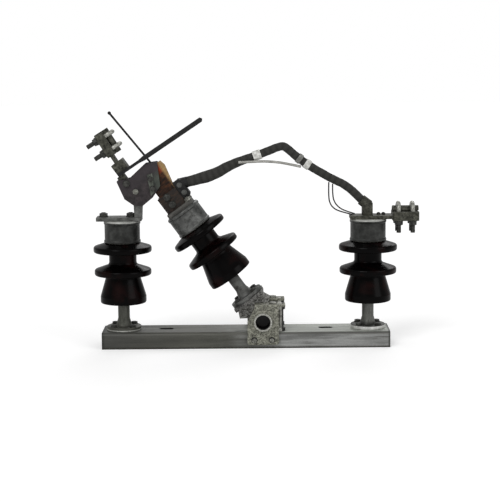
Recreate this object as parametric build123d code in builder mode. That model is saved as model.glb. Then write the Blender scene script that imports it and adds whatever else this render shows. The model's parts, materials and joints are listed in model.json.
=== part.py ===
from build123d import *
import os
from math import cos, pi, radians, sin, tan

# One pole of an air break switch with a tilting post insulator, shown closed.
# Millimetres. +X runs right along the base, +Y away from the viewer, +Z up.
# Origin: the middle of the base channel, in the plane of its lower edges.
os.makedirs("parts", exist_ok=True)

# Base channel, web up
channel_length = 660
channel_width = 100
channel_height = 38
channel_wall = 5
channel_bend = 8
slot_spacing = 368
slot_length = 34
slot_width = 18
post_spacing = 564

# Post insulators: pin with a bolted flange
flange_radius = 40
flange_thick = 9
flange_edge = 1
flange_bolt_circle = 62
flange_bolts = 4
flange_bolt_angle = 45
flange_hole = 9
pin_radius = 13.5
pin_neck_radius = 19
pin_neck_height = 18
pin_seat = 104

# Post insulators: porcelain with a bell over the pin and two drooping sheds
insulator_height = 254
bell_radius = 53
bell_bottom = 63
bell_rim = 16
bell_wall = 9
bell_roof = 88
bell_draft = 8
pin_boss_radius = 27
pin_boss_drop = 6
neck_radius = 38
core_radius = 31.5
shed_rim = 14
shed_rise = 12
shed_droop = 3
lower_shed_radius = 65.5
shed_pitch = 53
upper_shed_radius = 67
shed_to_cap = 10
rim_round = 4
root_round = 7

# Post insulators: cap over the porcelain head
cap_radius = 40.5
cap_height = 50
cap_wall = 4
cap_top_thick = 12
cap_bead = 1.5
cap_bead_height = 4
cap_bead_slope = 2
cap_edge = 3
seat_gap = 0.3

# Rocker bearings: two brackets on the channel's sides, propped by studs
pivot_x = 39
pivot_height = 24.5
closed_tilt = 36
bearing_clearance = 0.08
bracket_thick = 8
bracket_left = 35.5
bracket_right = 36
bracket_drop = 28
bracket_rise = 34.5
bracket_cut_width = 18
bracket_cut_height = 35
bracket_foot_round = 5
bracket_flange = 5
bracket_flange_left = 19
bracket_flange_right = 51
bracket_flange_depth = 32
bracket_bolt_spacing = 40
bracket_bolt_drop = 18
bracket_hole = 11
boss_radius = 27
boss_height = 2.5
stud_radius = 6
stud_reach = 41
stud_side = 36
stud_tail = 6
stud_proud = 1
stud_nut_radius = 10
stud_nut_height = 8

# Rocker: shaft tube, arms and saddle that carry the middle post
shaft_radius = 21
shaft_wall = 4
shaft_end = 5.5
shaft_socket = 40
hub_clearance = 0.1
arm_side = 5
arm_thick = 7
arm_root = 27
arm_root_height = 20
arm_foot = 31
arm_half_width = 43
arm_top = 34
saddle_height = 50
saddle_thick = 8
saddle_half_length = 39
saddle_half_width = 41
saddle_corner = 8

# Moving contact, in the frame of the middle post: foot, side plates, copper leaves
contact_foot_length = 68
contact_foot_width = 52
contact_foot_thick = 10
contact_foot_corner = 6
leaf_count = 6
leaf_thick = 3
leaf_gap = 1.8
leaf_side_gap = 0.3
leaf_left = -30
leaf_right = 20
leaf_height = 110
leaf_rivet_radius = 7
leaf_rivet_across = -8
leaf_rivet_low = 14
leaf_rivet_high = 34
clamp_plate_thick = 4
clamp_plate_height = 42

# Block that the lead leaves from, and the thin horn on top of the leaves
lead_block_width = 20
lead_block_bottom = 6
lead_block_height = 46
lead_block_depth = 30
lead_block_chamfer = 4
moving_horn_radius = 2.5
moving_horn_tip = 4
moving_horn_length = 154
moving_horn_lean = 3
horn_foot_across = 8
horn_foot_length = 22
horn_foot_width = 16
horn_foot_thick = 4
horn_foot_corner = 3

# Fixed contact: cheeks, straps and the bracket that stands on the left cap
jaw_clearance = 1.5
cheek_thick = 4
cheek_round = 3
strap_thick = 3
bracket_foot_left = 58
bracket_foot_right = 46
bracket_foot_width = 50
bracket_foot_thick = 8
bracket_foot_corner = 5
leg_width = 16
horn_thick = 8
horn_length = 222
horn_depth = 11
horn_root_depth = 7
horn_root_length = 48
horn_taper = 14
horn_heel = 8
horn_point = 4
horn_across = -58
horn_rise = 149.5
horn_splay = 2.4

# Line terminals
terminal_thick = 8
terminal_width = 50
terminal_left = 42
terminal_reach = 55
clamp_length = 60
clamp_width = 60
clamp_drop = 4
clamp_corner = 6
conductor_radius = 8
conductor_lift = 1
clamp_parting = 2
keeper_width = 22
keeper_height = 11
u_bolt_radius = 5
u_bolt_half_span = 17
u_bolt_spacing = 32
u_bolt_tail = 32
u_bolt_clearance = 0.3
left_clamp_across = -57
left_clamp_rise = 194
left_clamp_lean = 4
left_tongue = 30
head_left = -76
head_right = -44
head_top_rise = 128
neck_left = -74
neck_right = -56
neck_height = 18
block_left = -68
block_right = -38
block_height = 30

# Leads and what they end in
lead_radius = 10
strand_radius = 3
wire_radius = 1.6
socket_wall = 2.5
socket_length = 22
lug_width = 24
lug_depth = 24
lug_height = 36
lug_bevel = 8
lug_slope = 14
lug_inset = 2

channel_side = channel_width / 2
cap_top = channel_height + insulator_height
cap_foot = insulator_height - cap_height
upper_shed_bottom = cap_foot - shed_to_cap - shed_rim
lower_shed_bottom = upper_shed_bottom - shed_pitch
pivot_z = channel_height + pivot_height
saddle_top = saddle_height + saddle_thick
post_cap_top = saddle_top + insulator_height
foot_top = post_cap_top + contact_foot_thick
post_frame = Location((pivot_x, 0, pivot_z), (0, -closed_tilt, 0))
left_base = Location((-post_spacing / 2, 0, channel_height))
right_base = Location((post_spacing / 2, 0, channel_height))
post_base = post_frame * Location((0, 0, saddle_top))

# Outlines of the contact in the middle post's frame: across, and up from the cap or from the foot
leaf_outline = [
    (leaf_left, 0),
    (leaf_right, 0),
    (leaf_right, 53),
    (30, 96),
    (27, leaf_height),
    (-2, leaf_height),
    (-24, 84),
    (-24, 42),
]
cheek_outline = [
    (-79, 143),
    (-52, 129),
    (-3, 135),
    (22, 122),
    (-5, 74),
    (-34, 63),
    (-66, 61),
    (-81, 75),
    (-89, 98),
]
strap_outline = [(-36, 68), (-24, 70), (-2, 108), (-14, 112)]
leg_outline = [
    (-66, 62),
    (head_right, 80),
    (head_right, head_top_rise),
    (head_left, head_top_rise),
    (-82, 98),
    (-80, 76),
]

# Routes of the leads: chosen points, X Y Z
lead_route = [
    (-130, 0, 379.3),
    (-98, 0, 387),
    (-64, 0, 398),
    (-32, 0, 417),
    (6, 0, 431),
    (48, 0, 445),
    (86, 0, 461),
    (114, 0, 438),
    (152, 0, 410),
    (196, 0, 380),
    (236, 0, cap_top + 66),
    (266, 0, cap_top + 43),
]
strand_route = [
    (-14, -13.4, 423.6),
    (14, -13.8, 424.5),
    (44, -12, 425.5),
    (76, -9, 423),
    (104, -6, 417.5),
    (128.5, -4, 411.6),
]
wire_front_route = [
    (192, -4, 370),
    (191, -7, 346),
    (194, -9, 327),
    (205, -9, 314),
    (224, -8, cap_top + 15),
    (246, -8, cap_top + 9.5),
]
wire_back_route = [
    (201, 4, 365),
    (201, 7, 344),
    (206, 9, 327),
    (218, 9, 314),
    (234, 8, cap_top + 15),
    (252, 8, cap_top + 9.5),
]


def save(shape, name):
    """Writes one node, under its own name."""
    shape.label = name
    export_step(shape, f"parts/{name}.step")


def on_post(across, up):
    """World X and Z of a point given in the middle post's frame, up from its cap."""
    tilt = radians(closed_tilt)
    height = post_cap_top + up
    x = pivot_x + across * cos(tilt) - height * sin(tilt)
    z = pivot_z + across * sin(tilt) + height * cos(tilt)
    return (x, z)


def tube_along(points, radius):
    """A round cord along straight runs joined by arcs as large as the runs allow."""
    route = [Vector(*point) for point in points]
    runs = [end - start for start, end in zip(route, route[1:])]
    radii = []
    for before, after in zip(runs, runs[1:]):
        half_turn = radians(before.get_angle(after)) / 2
        radii.append(0.45 * min(before.length, after.length) / tan(half_turn))
    with BuildPart() as cord:
        with BuildLine() as path:
            FilletPolyline(*route, radius=radii)
        with BuildSketch(Plane(origin=route[0], z_dir=runs[0])):
            Circle(radius)
        sweep()
    length = path.wires()[0].length
    print("cord", round(length, 1), "mm, share of its volume", cord.part.volume / (pi * radius**2 * length))
    return cord.part


def lead_socket(end, inward):
    """Barrel that grips a lead's end: from just short of that end, away from the lead."""
    with BuildPart() as socket:
        with BuildSketch(Plane(origin=end + inward * seat_gap, z_dir=inward)):
            Circle(lead_radius + socket_wall)
        extrude(amount=socket_length)
    return socket.part


# Base channel
with BuildPart() as channel:
    with BuildSketch(Plane.YZ) as channel_outside:
        Rectangle(channel_width, channel_height, align=(Align.CENTER, Align.MIN))
        fillet(channel_outside.vertices().group_by(Axis.Y)[-1], channel_bend)
    extrude(amount=channel_length / 2, both=True)
    with BuildSketch(Plane.YZ) as channel_inside:
        inside_height = channel_height - channel_wall
        Rectangle(channel_width - 2 * channel_wall, inside_height, align=(Align.CENTER, Align.MIN))
        fillet(channel_inside.vertices().group_by(Axis.Y)[-1], channel_bend - channel_wall)
    extrude(amount=channel_length / 2, both=True, mode=Mode.SUBTRACT)
    with BuildSketch(Plane.XY.offset(channel_height)):
        with GridLocations(slot_spacing, 0, 2, 1):
            SlotOverall(slot_length, slot_width)
        with GridLocations(post_spacing, 0, 2, 1):
            with PolarLocations(flange_bolt_circle / 2, flange_bolts, start_angle=flange_bolt_angle):
                Circle(flange_hole / 2)
        with Locations((pivot_x + stud_reach, -stud_side), (pivot_x + stud_reach, stud_side)):
            Circle(stud_radius + seat_gap)
    extrude(amount=-2 * channel_wall, mode=Mode.SUBTRACT)
    with Locations(Location((pivot_x, 0, channel_height - bracket_bolt_drop), (90, 0, 0))):
        with GridLocations(bracket_bolt_spacing, 0, 2, 1):
            Cylinder(bracket_hole / 2, 2 * channel_width, mode=Mode.SUBTRACT)
save(channel.part, "base_channel")

# Insulator pin with its flange, from the flange's underside
with BuildPart() as pin:
    with BuildSketch(Plane.XZ) as pin_profile:
        with BuildLine():
            Polyline(
                (0, 0),
                (flange_radius, 0),
                (flange_radius, flange_thick),
                (pin_neck_radius, flange_thick),
                (pin_radius, flange_thick + pin_neck_height),
                (pin_radius, pin_seat),
                (0, pin_seat),
                close=True,
            )
        make_face()
    revolve(axis=Axis.Z)
    chamfer(pin.edges().filter_by(GeomType.CIRCLE).group_by(SortBy.RADIUS)[-1], flange_edge)
    with PolarLocations(flange_bolt_circle / 2, flange_bolts, start_angle=flange_bolt_angle):
        Cylinder(flange_hole / 2, 4 * flange_thick, mode=Mode.SUBTRACT)

# Porcelain: bell over the pin, two drooping sheds, head inside the cap
head_radius = cap_radius - cap_wall - seat_gap
head_top = insulator_height - cap_top_thick - seat_gap
pin_hole = pin_radius + seat_gap
bell_top = bell_bottom + bell_rim
with BuildPart() as porcelain:
    with BuildSketch(Plane.XZ) as porcelain_profile:
        with BuildLine():
            Polyline(
                (0, pin_seat + seat_gap),
                (pin_hole, pin_seat + seat_gap),
                (pin_hole, bell_roof - pin_boss_drop),
                (pin_boss_radius - pin_boss_drop, bell_roof - pin_boss_drop),
                (pin_boss_radius, bell_roof),
                (bell_radius - bell_wall - bell_draft, bell_roof),
                (bell_radius - bell_wall, bell_bottom),
                (bell_radius, bell_bottom),
                (bell_radius, bell_top),
                (neck_radius, lower_shed_bottom + shed_droop),
                (lower_shed_radius, lower_shed_bottom),
                (lower_shed_radius, lower_shed_bottom + shed_rim),
                (core_radius, lower_shed_bottom + shed_rim + shed_rise),
                (core_radius, upper_shed_bottom + shed_droop),
                (upper_shed_radius, upper_shed_bottom),
                (upper_shed_radius, upper_shed_bottom + shed_rim),
                (head_radius, cap_foot - seat_gap),
                (head_radius, head_top),
                (0, head_top),
                close=True,
            )
        make_face()
        corners = porcelain_profile.vertices()
        bell_edge = corners.filter_by(lambda v: abs(v.Y - bell_bottom) < 1)
        shoulder = corners.filter_by(lambda v: abs(v.X - bell_radius) < 1 and abs(v.Y - bell_top) < 1)
        rims = corners.filter_by(lambda v: v.X > bell_radius + 1)
        roots = corners.filter_by(lambda v: core_radius - 1 < v.X < bell_radius - 1)
        roots = roots.filter_by(lambda v: bell_top + 1 < v.Y < upper_shed_bottom + shed_rim)
        fillet(bell_edge + shoulder + rims, rim_round)
        fillet(roots.filter_by(lambda v: abs(v.Y - bell_roof) > 1), root_round)
    revolve(axis=Axis.Z)

# Cap over the porcelain head, with a bead round its top and its foot
bead_radius = cap_radius + cap_bead
with BuildPart() as cap:
    with BuildSketch(Plane.XZ) as cap_profile:
        with BuildLine():
            Polyline(
                (0, insulator_height),
                (bead_radius - cap_edge, insulator_height),
                (bead_radius, insulator_height - cap_edge),
                (bead_radius, insulator_height - cap_edge - cap_bead_height),
                (cap_radius, insulator_height - cap_edge - cap_bead_height - cap_bead_slope),
                (cap_radius, cap_foot + cap_bead_height + cap_bead_slope),
                (bead_radius, cap_foot + cap_bead_height),
                (bead_radius, cap_foot),
                (cap_radius - cap_wall, cap_foot),
                (cap_radius - cap_wall, insulator_height - cap_top_thick),
                (0, insulator_height - cap_top_thick),
                close=True,
            )
        make_face()
    revolve(axis=Axis.Z)

for base, side in ((left_base, "left"), (right_base, "right"), (post_base, "post")):
    save(pin.part.moved(base), f"{side}_pin")
    save(porcelain.part.moved(base), f"{side}_porcelain")
    save(cap.part.moved(base), f"{side}_cap")

# Bearing bracket: side plate on the channel's flange, bearing boss, inward top flange
bracket_top = pivot_z + bracket_rise
bracket_bottom = channel_height - bracket_drop
stud_x = pivot_x + stud_reach
with BuildPart() as bracket:
    with BuildSketch(Plane.XZ.offset(channel_side)) as bracket_face:
        with BuildLine():
            Polyline(
                (pivot_x - bracket_left, bracket_bottom),
                (pivot_x + bracket_right, bracket_bottom),
                (pivot_x + bracket_right, bracket_top),
                (pivot_x - bracket_left + bracket_cut_width, bracket_top),
                (pivot_x - bracket_left, bracket_top - bracket_cut_height),
                close=True,
            )
        make_face()
        fillet(bracket_face.vertices().group_by(Axis.Y)[0], bracket_foot_round)
    extrude(amount=bracket_thick)
    with BuildSketch(Plane.XZ.offset(channel_side + bracket_thick)):
        with Locations((pivot_x, pivot_z)):
            Circle(boss_radius)
    extrude(amount=boss_height)
    with BuildSketch(Plane.XY.offset(bracket_top)):
        with Locations((pivot_x - bracket_flange_left, -channel_side - bracket_thick)):
            flange_length = bracket_flange_left + bracket_flange_right
            Rectangle(flange_length, bracket_flange_depth, align=(Align.MIN, Align.MIN))
    extrude(amount=bracket_flange)
    with Locations((stud_x, -stud_side, bracket_top)):
        Cylinder(stud_radius + seat_gap, 4 * bracket_flange, mode=Mode.SUBTRACT)
    with Locations(Location((pivot_x, -channel_side, pivot_z), (90, 0, 0))):
        Cylinder(shaft_radius + bearing_clearance, 4 * bracket_thick, mode=Mode.SUBTRACT)
    with Locations(Location((pivot_x, -channel_side, channel_height - bracket_bolt_drop), (90, 0, 0))):
        with GridLocations(bracket_bolt_spacing, 0, 2, 1):
            Cylinder(bracket_hole / 2, 4 * bracket_thick, mode=Mode.SUBTRACT)
save(bracket.part, "bearing_bracket_front")
save(mirror(bracket.part, about=Plane.XZ), "bearing_bracket_back")

# Studs that prop the bracket flanges on the channel, with their nuts
stud_bottom = channel_height - channel_wall - stud_tail
stud_top = bracket_top + bracket_flange + stud_proud
with BuildPart() as studs:
    for side in (-stud_side, stud_side):
        with BuildSketch(Plane.XY.offset(stud_bottom)):
            with Locations((stud_x, side)):
                Circle(stud_radius)
        extrude(amount=stud_top - stud_bottom)
        for nut_bottom in (channel_height + seat_gap, bracket_top - stud_nut_height - seat_gap):
            with BuildSketch(Plane.XY.offset(nut_bottom)):
                with Locations((stud_x, side)):
                    RegularPolygon(stud_nut_radius, 6)
            extrude(amount=stud_nut_height)
save(studs.part, "stop_studs")

# Rocker shaft: solid in the middle, with a socket for the operating pipe in each end
shaft_half = channel_side + bracket_thick + boss_height + shaft_end
with BuildPart() as shaft:
    with BuildSketch(Plane.XZ):
        Circle(shaft_radius)
    extrude(amount=shaft_half, both=True)
    for side in (-1, 1):
        with BuildSketch(Plane.XZ.offset(side * shaft_half)):
            Circle(shaft_radius - shaft_wall)
        extrude(amount=-side * shaft_socket, mode=Mode.SUBTRACT)
save(shaft.part.moved(post_frame), "rocker_shaft")

# Rocker arms: two plates that stand on the shaft between the brackets, and the saddle on them
with BuildPart() as arm:
    with BuildSketch(Plane.XZ.offset(arm_side)):
        with BuildLine():
            Polyline(
                (-arm_top, saddle_height),
                (-arm_half_width, arm_foot),
                (-arm_root, arm_root_height),
                (-arm_root, 0),
                (arm_root, 0),
                (arm_root, arm_root_height),
                (arm_half_width, arm_foot),
                (arm_top, saddle_height),
                close=True,
            )
        make_face()
        Circle(shaft_radius + hub_clearance, mode=Mode.SUBTRACT)
    extrude(amount=arm_thick)
save(arm.part.moved(post_frame), "rocker_arm_front")
save(mirror(arm.part, about=Plane.XZ).moved(post_frame), "rocker_arm_back")

with BuildPart() as saddle:
    with BuildSketch(Plane.XY.offset(saddle_height)):
        RectangleRounded(2 * saddle_half_length, 2 * saddle_half_width, saddle_corner)
        with PolarLocations(flange_bolt_circle / 2, flange_bolts, start_angle=flange_bolt_angle):
            Circle(flange_hole / 2, mode=Mode.SUBTRACT)
    extrude(amount=saddle_thick)
save(saddle.part.moved(post_frame), "rocker_saddle")

# Moving contact: foot with side plates, laminated copper leaves, block for the lead
pack_half = (leaf_count * leaf_thick + (leaf_count - 1) * leaf_gap) / 2
plate_side = pack_half + leaf_side_gap + clamp_plate_thick / 2
with BuildPart() as contact_foot:
    with BuildSketch(Plane.XY.offset(post_cap_top)):
        RectangleRounded(contact_foot_length, contact_foot_width, contact_foot_corner)
    extrude(amount=contact_foot_thick)
    with BuildSketch(Plane.XY.offset(foot_top)):
        with Locations(((leaf_left + leaf_right) / 2, 0)):
            with GridLocations(0, 2 * plate_side, 1, 2):
                Rectangle(leaf_right - leaf_left, clamp_plate_thick)
    extrude(amount=clamp_plate_height)
save(contact_foot.part.moved(post_frame), "moving_contact_foot")

with BuildPart() as leaves:
    for index in range(leaf_count):
        leaf_side = pack_half - leaf_thick - index * (leaf_thick + leaf_gap)
        with BuildSketch(Plane.XZ.offset(leaf_side)):
            with BuildLine():
                Polyline(*[(across, foot_top + up) for across, up in leaf_outline], close=True)
            make_face()
        extrude(amount=leaf_thick)
    with BuildSketch(Plane.XZ.offset(-pack_half)):
        for up in (leaf_rivet_low, leaf_rivet_high):
            with Locations((leaf_rivet_across, foot_top + up)):
                Circle(leaf_rivet_radius)
    extrude(amount=2 * pack_half)
save(leaves.part.moved(post_frame), "contact_leaves")

with BuildPart() as lead_block:
    with BuildSketch(Plane.XZ) as block_face:
        with Locations((leaf_right, foot_top + lead_block_bottom)):
            Rectangle(lead_block_width, lead_block_height, align=(Align.MIN, Align.MIN))
        chamfer(block_face.vertices().group_by(Axis.X)[-1], lead_block_chamfer)
    extrude(amount=lead_block_depth / 2, both=True)
lead_start = Vector(*lead_route[0])
lead_out = (lead_start - Vector(*lead_route[1])).normalized()
save(lead_block.part.moved(post_frame) + lead_socket(lead_start, lead_out), "lead_block")

leaf_top = foot_top + leaf_height
with BuildPart() as moving_horn:
    with BuildSketch(Plane.XY.offset(leaf_top)):
        with Locations((horn_foot_across, 0)):
            RectangleRounded(horn_foot_length, horn_foot_width, horn_foot_corner)
    extrude(amount=horn_foot_thick)
    with Locations(Location((horn_foot_across, 0, leaf_top + 1), (0, -moving_horn_lean, 0))):
        Cylinder(moving_horn_radius, moving_horn_length, align=(Align.CENTER, Align.CENTER, Align.MIN))
        with Locations((0, 0, moving_horn_length)):
            Sphere(moving_horn_tip)
save(moving_horn.part.moved(post_frame), "moving_horn")

# Fixed contact: two cheeks either side of the leaves, with a strap outside each
jaw_half = pack_half + jaw_clearance
with BuildPart() as cheek:
    with BuildSketch(Plane.XZ.offset(jaw_half)) as cheek_face:
        with BuildLine():
            Polyline(*[(across, post_cap_top + up) for across, up in cheek_outline], close=True)
        make_face()
        fillet(cheek_face.vertices(), cheek_round)
    extrude(amount=cheek_thick)
save(cheek.part.moved(post_frame), "contact_cheek_front")
save(mirror(cheek.part, about=Plane.XZ).moved(post_frame), "contact_cheek_back")

strap_side = jaw_half + cheek_thick
head_half = strap_side + strap_thick
with BuildPart() as straps:
    for side in (strap_side, -head_half):
        with BuildSketch(Plane.XZ.offset(side)):
            with BuildLine():
                Polyline(*[(across, post_cap_top + up) for across, up in strap_outline], close=True)
            make_face()
        extrude(amount=strap_thick)
save(straps.part.moved(post_frame), "jaw_straps")

# Bracket of the fixed contact: foot on the left cap, leaning leg and head between the cheeks
left_x = -post_spacing / 2
foot_right = left_x + bracket_foot_right
with BuildPart() as contact_bracket:
    with BuildSketch(Plane.XY.offset(cap_top)):
        with Locations(((left_x - bracket_foot_left + foot_right) / 2, 0)):
            RectangleRounded(bracket_foot_left + bracket_foot_right, bracket_foot_width, bracket_foot_corner)
    extrude(amount=bracket_foot_thick)
    with BuildSketch(Plane.XZ):
        with BuildLine():
            Polyline(
                (foot_right - leg_width, cap_top),
                (foot_right, cap_top),
                *[on_post(across, up) for across, up in leg_outline],
                close=True,
            )
        make_face()
    extrude(amount=jaw_half, both=True)
save(contact_bracket.part, "contact_bracket")

# Conductor clamps, in their own frame: the conductor lies along X, from X 0 to the clamp's length
groove_z = terminal_thick + conductor_lift + conductor_radius
clamp_height = groove_z - clamp_parting / 2 + clamp_drop
keeper_bottom = groove_z + clamp_parting / 2
groove_at = Location((clamp_length / 2, 0, groove_z), (0, 90, 0))


def terminal_shape(tongue_start, tongue_width):
    """Tongue and clamp body with a half-round groove and the U-bolts' holes."""
    with BuildPart() as terminal:
        with BuildSketch(Plane.XY):
            with Locations((tongue_start, 0)):
                Rectangle(clamp_length / 2 - tongue_start, tongue_width, align=(Align.MIN, Align.CENTER))
        extrude(amount=terminal_thick)
        with BuildSketch(Plane.XY.offset(-clamp_drop)):
            with Locations((clamp_length / 2, 0)):
                RectangleRounded(clamp_length, clamp_width, clamp_corner)
        extrude(amount=clamp_height)
        with Locations(groove_at):
            Cylinder(conductor_radius, 2 * clamp_length, mode=Mode.SUBTRACT)
        with Locations((clamp_length / 2, 0, 0)):
            with GridLocations(u_bolt_spacing, 2 * u_bolt_half_span, 2, 2):
                Cylinder(u_bolt_radius + u_bolt_clearance, 4 * clamp_height, mode=Mode.SUBTRACT)
    return terminal.part


def keeper_shape():
    """The upper half of a conductor clamp, under its U-bolts."""
    with BuildPart() as keeper:
        with BuildSketch(Plane.YZ) as keeper_section:
            with Locations((0, keeper_bottom)):
                Rectangle(keeper_width, keeper_height, align=(Align.CENTER, Align.MIN))
            round_off = min(keeper_width / 2, keeper_height) - 2 * seat_gap
            fillet(keeper_section.vertices().group_by(Axis.Y)[-1], round_off)
        extrude(amount=clamp_length)
        with Locations(groove_at):
            Cylinder(conductor_radius, 2 * clamp_length, mode=Mode.SUBTRACT)
    return keeper.part


def u_bolt_shape():
    """Two U-bolts across the clamp."""
    arch_z = keeper_bottom + keeper_height + seat_gap + u_bolt_radius - u_bolt_half_span
    with BuildPart() as u_bolts:
        for spot in (-u_bolt_spacing / 2, u_bolt_spacing / 2):
            with BuildLine(Plane.YZ.offset(clamp_length / 2 + spot)):
                leg = Line((-u_bolt_half_span, -u_bolt_tail), (-u_bolt_half_span, arch_z))
                CenterArc((0, arch_z), u_bolt_half_span, 180, -180)
                Line((u_bolt_half_span, arch_z), (u_bolt_half_span, -u_bolt_tail))
            with BuildSketch(Plane(origin=leg @ 0, z_dir=(0, 0, 1))):
                Circle(u_bolt_radius)
            sweep()
    return u_bolts.part


right_clamp = Location((post_spacing / 2 + terminal_reach, 0, cap_top))
save(terminal_shape(-terminal_reach - terminal_left, terminal_width).moved(right_clamp), "right_terminal")
save(keeper_shape().moved(right_clamp), "right_keeper")
save(u_bolt_shape().moved(right_clamp), "right_u_bolts")

# Left terminal: stepped block on the bracket's head, and a clamp that runs up along it
clamp_tilt = radians(closed_tilt - left_clamp_lean)
clamp_x, clamp_z = on_post(left_clamp_across, left_clamp_rise)
left_plane = Plane(
    origin=(clamp_x, 0, clamp_z),
    x_dir=(-sin(clamp_tilt), 0, cos(clamp_tilt)),
    z_dir=(cos(clamp_tilt), 0, sin(clamp_tilt)),
)
left_clamp = left_plane.location
head_top = post_cap_top + head_top_rise
with BuildPart() as left_block:
    with BuildSketch(Plane.XZ):
        with Locations((neck_left, head_top)):
            Rectangle(neck_right - neck_left, neck_height, align=(Align.MIN, Align.MIN))
    extrude(amount=jaw_half, both=True)
    with BuildSketch(Plane.XZ):
        with Locations((block_left, head_top + neck_height)):
            Rectangle(block_right - block_left, block_height, align=(Align.MIN, Align.MIN))
    extrude(amount=head_half, both=True)
left_tongue_shape = terminal_shape(-left_tongue, 2 * jaw_half).moved(left_clamp)
save(left_block.part.moved(post_frame) + left_tongue_shape, "left_terminal")
save(keeper_shape().moved(left_clamp), "left_keeper")
save(u_bolt_shape().moved(left_clamp), "left_u_bolts")

# Thick horn on the front face of the left terminal's block
with BuildPart() as fixed_horn:
    with BuildSketch(Plane.XZ.offset(head_half)):
        with BuildLine():
            Polyline(
                (-horn_heel, -horn_root_depth / 2),
                (horn_root_length, -horn_root_depth / 2),
                (horn_root_length + horn_taper, -horn_depth / 2),
                (horn_length - horn_point, -horn_depth / 2),
                (horn_length, 0),
                (horn_length - horn_point, horn_depth / 2),
                (horn_root_length + horn_taper, horn_depth / 2),
                (horn_root_length, horn_root_depth / 2),
                (-horn_heel, horn_root_depth / 2),
                close=True,
            )
        make_face()
    extrude(amount=horn_thick)
horn_frame = post_frame * Location((horn_across, 0, post_cap_top + horn_rise), (0, horn_splay, 0))
save(fixed_horn.part.moved(horn_frame), "fixed_horn")

# Lug that the lead ends in, standing on the right terminal
lug_left = post_spacing / 2 - lug_inset - lug_width / 2
lug_right = lug_left + lug_width
lug_bottom = cap_top + terminal_thick
with BuildPart() as lug:
    with BuildSketch(Plane.XZ):
        with BuildLine():
            Polyline(
                (lug_left, lug_bottom),
                (lug_right, lug_bottom),
                (lug_right, lug_bottom + lug_height - lug_bevel),
                (lug_right - lug_bevel, lug_bottom + lug_height),
                (lug_left, lug_bottom + lug_height - lug_slope),
                close=True,
            )
        make_face()
    extrude(amount=lug_depth / 2, both=True)
lead_finish = Vector(*lead_route[-1])
lead_in = (lead_finish - Vector(*lead_route[-2])).normalized()
save(lug.part + lead_socket(lead_finish, lead_in), "lead_lug")

# Leads
save(tube_along(lead_route, lead_radius), "flexible_lead")
save(tube_along(strand_route, strand_radius), "lead_strand")
save(tube_along(wire_front_route, wire_radius), "thin_wire_front")
save(tube_along(wire_back_route, wire_radius), "thin_wire_back")
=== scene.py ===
import json
import logging
import math
from collections.abc import Callable, Iterable, Sequence
from dataclasses import dataclass, field, replace
from enum import Enum
from typing import ClassVar

import bmesh
import bpy
from mathutils import Matrix, Vector, noise


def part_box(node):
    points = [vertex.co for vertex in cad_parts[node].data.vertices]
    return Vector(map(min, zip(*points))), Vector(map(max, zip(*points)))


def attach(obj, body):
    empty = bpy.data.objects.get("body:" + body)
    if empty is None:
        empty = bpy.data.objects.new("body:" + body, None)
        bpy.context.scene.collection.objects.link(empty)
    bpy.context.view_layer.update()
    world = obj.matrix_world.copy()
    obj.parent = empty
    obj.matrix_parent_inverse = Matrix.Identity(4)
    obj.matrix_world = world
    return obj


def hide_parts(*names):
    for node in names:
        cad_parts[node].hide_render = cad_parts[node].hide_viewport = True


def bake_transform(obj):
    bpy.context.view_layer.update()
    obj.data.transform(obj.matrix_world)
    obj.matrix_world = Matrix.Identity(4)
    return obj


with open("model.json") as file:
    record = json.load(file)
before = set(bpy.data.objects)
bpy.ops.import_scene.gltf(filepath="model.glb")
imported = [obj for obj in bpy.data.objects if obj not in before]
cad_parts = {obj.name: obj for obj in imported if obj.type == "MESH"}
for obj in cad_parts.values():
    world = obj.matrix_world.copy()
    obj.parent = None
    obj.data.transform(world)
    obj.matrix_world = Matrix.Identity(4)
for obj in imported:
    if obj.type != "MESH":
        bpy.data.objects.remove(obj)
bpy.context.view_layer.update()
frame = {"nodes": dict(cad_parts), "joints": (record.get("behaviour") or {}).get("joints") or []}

# One pole of an air break switch: three porcelain posts on a steel channel, the middle one tilting.
# The frame's objects are in metres; sizes in this script are millimetres unless a name says otherwise.
LOG = logging.getLogger("air_break_switch")
MM = 0.001
# How far the middle post and the left clamp lean to the left at rest, in degrees
POST_LEAN = 36
LEFT_CLAMP_LEAN = 32


class Body(Enum):
    """The two bodies that pieces ride on."""

    BASE = "base"
    POST = "post"


def linear(colour: str) -> tuple[float, float, float, float]:
    """Turns an sRGB hex colour into linear light.

    Args:
        colour: The colour as "#rrggbb".

    Returns:
        Red, green, blue and a full alpha, linear.
    """
    channels = [int(colour[place : place + 2], 16) / 255 for place in (1, 3, 5)]
    light = [c / 12.92 if c <= 0.04045 else ((c + 0.055) / 1.055) ** 2.4 for c in channels]
    return (light[0], light[1], light[2], 1.0)


def per_metre(size: float) -> float:
    """How many patterns of that size, in millimetres, fit in a metre."""
    return 1 / (size * MM)


def add_node(
    tree: bpy.types.NodeTree,
    kind: str,
    settings: dict[str, object] | None = None,
    inputs: dict[str | int, object] | None = None,
) -> bpy.types.Node:
    """Adds a node, sets its properties and fills its sockets.

    Args:
        tree: The node tree to add to.
        kind: The node's type name.
        settings: Properties of the node by name.
        inputs: Values by socket name or number; a socket, or a list of sockets, is linked.

    Returns:
        The new node.
    """
    node = tree.nodes.new(kind)
    for name, value in (settings or {}).items():
        setattr(node, name, value)
    for key, value in (inputs or {}).items():
        sources = value if isinstance(value, list) else [value]
        for source in sources:
            if isinstance(source, bpy.types.NodeSocket):
                tree.links.new(source, node.inputs[key])
            else:
                node.inputs[key].default_value = source
    return node


# Finishes


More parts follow.
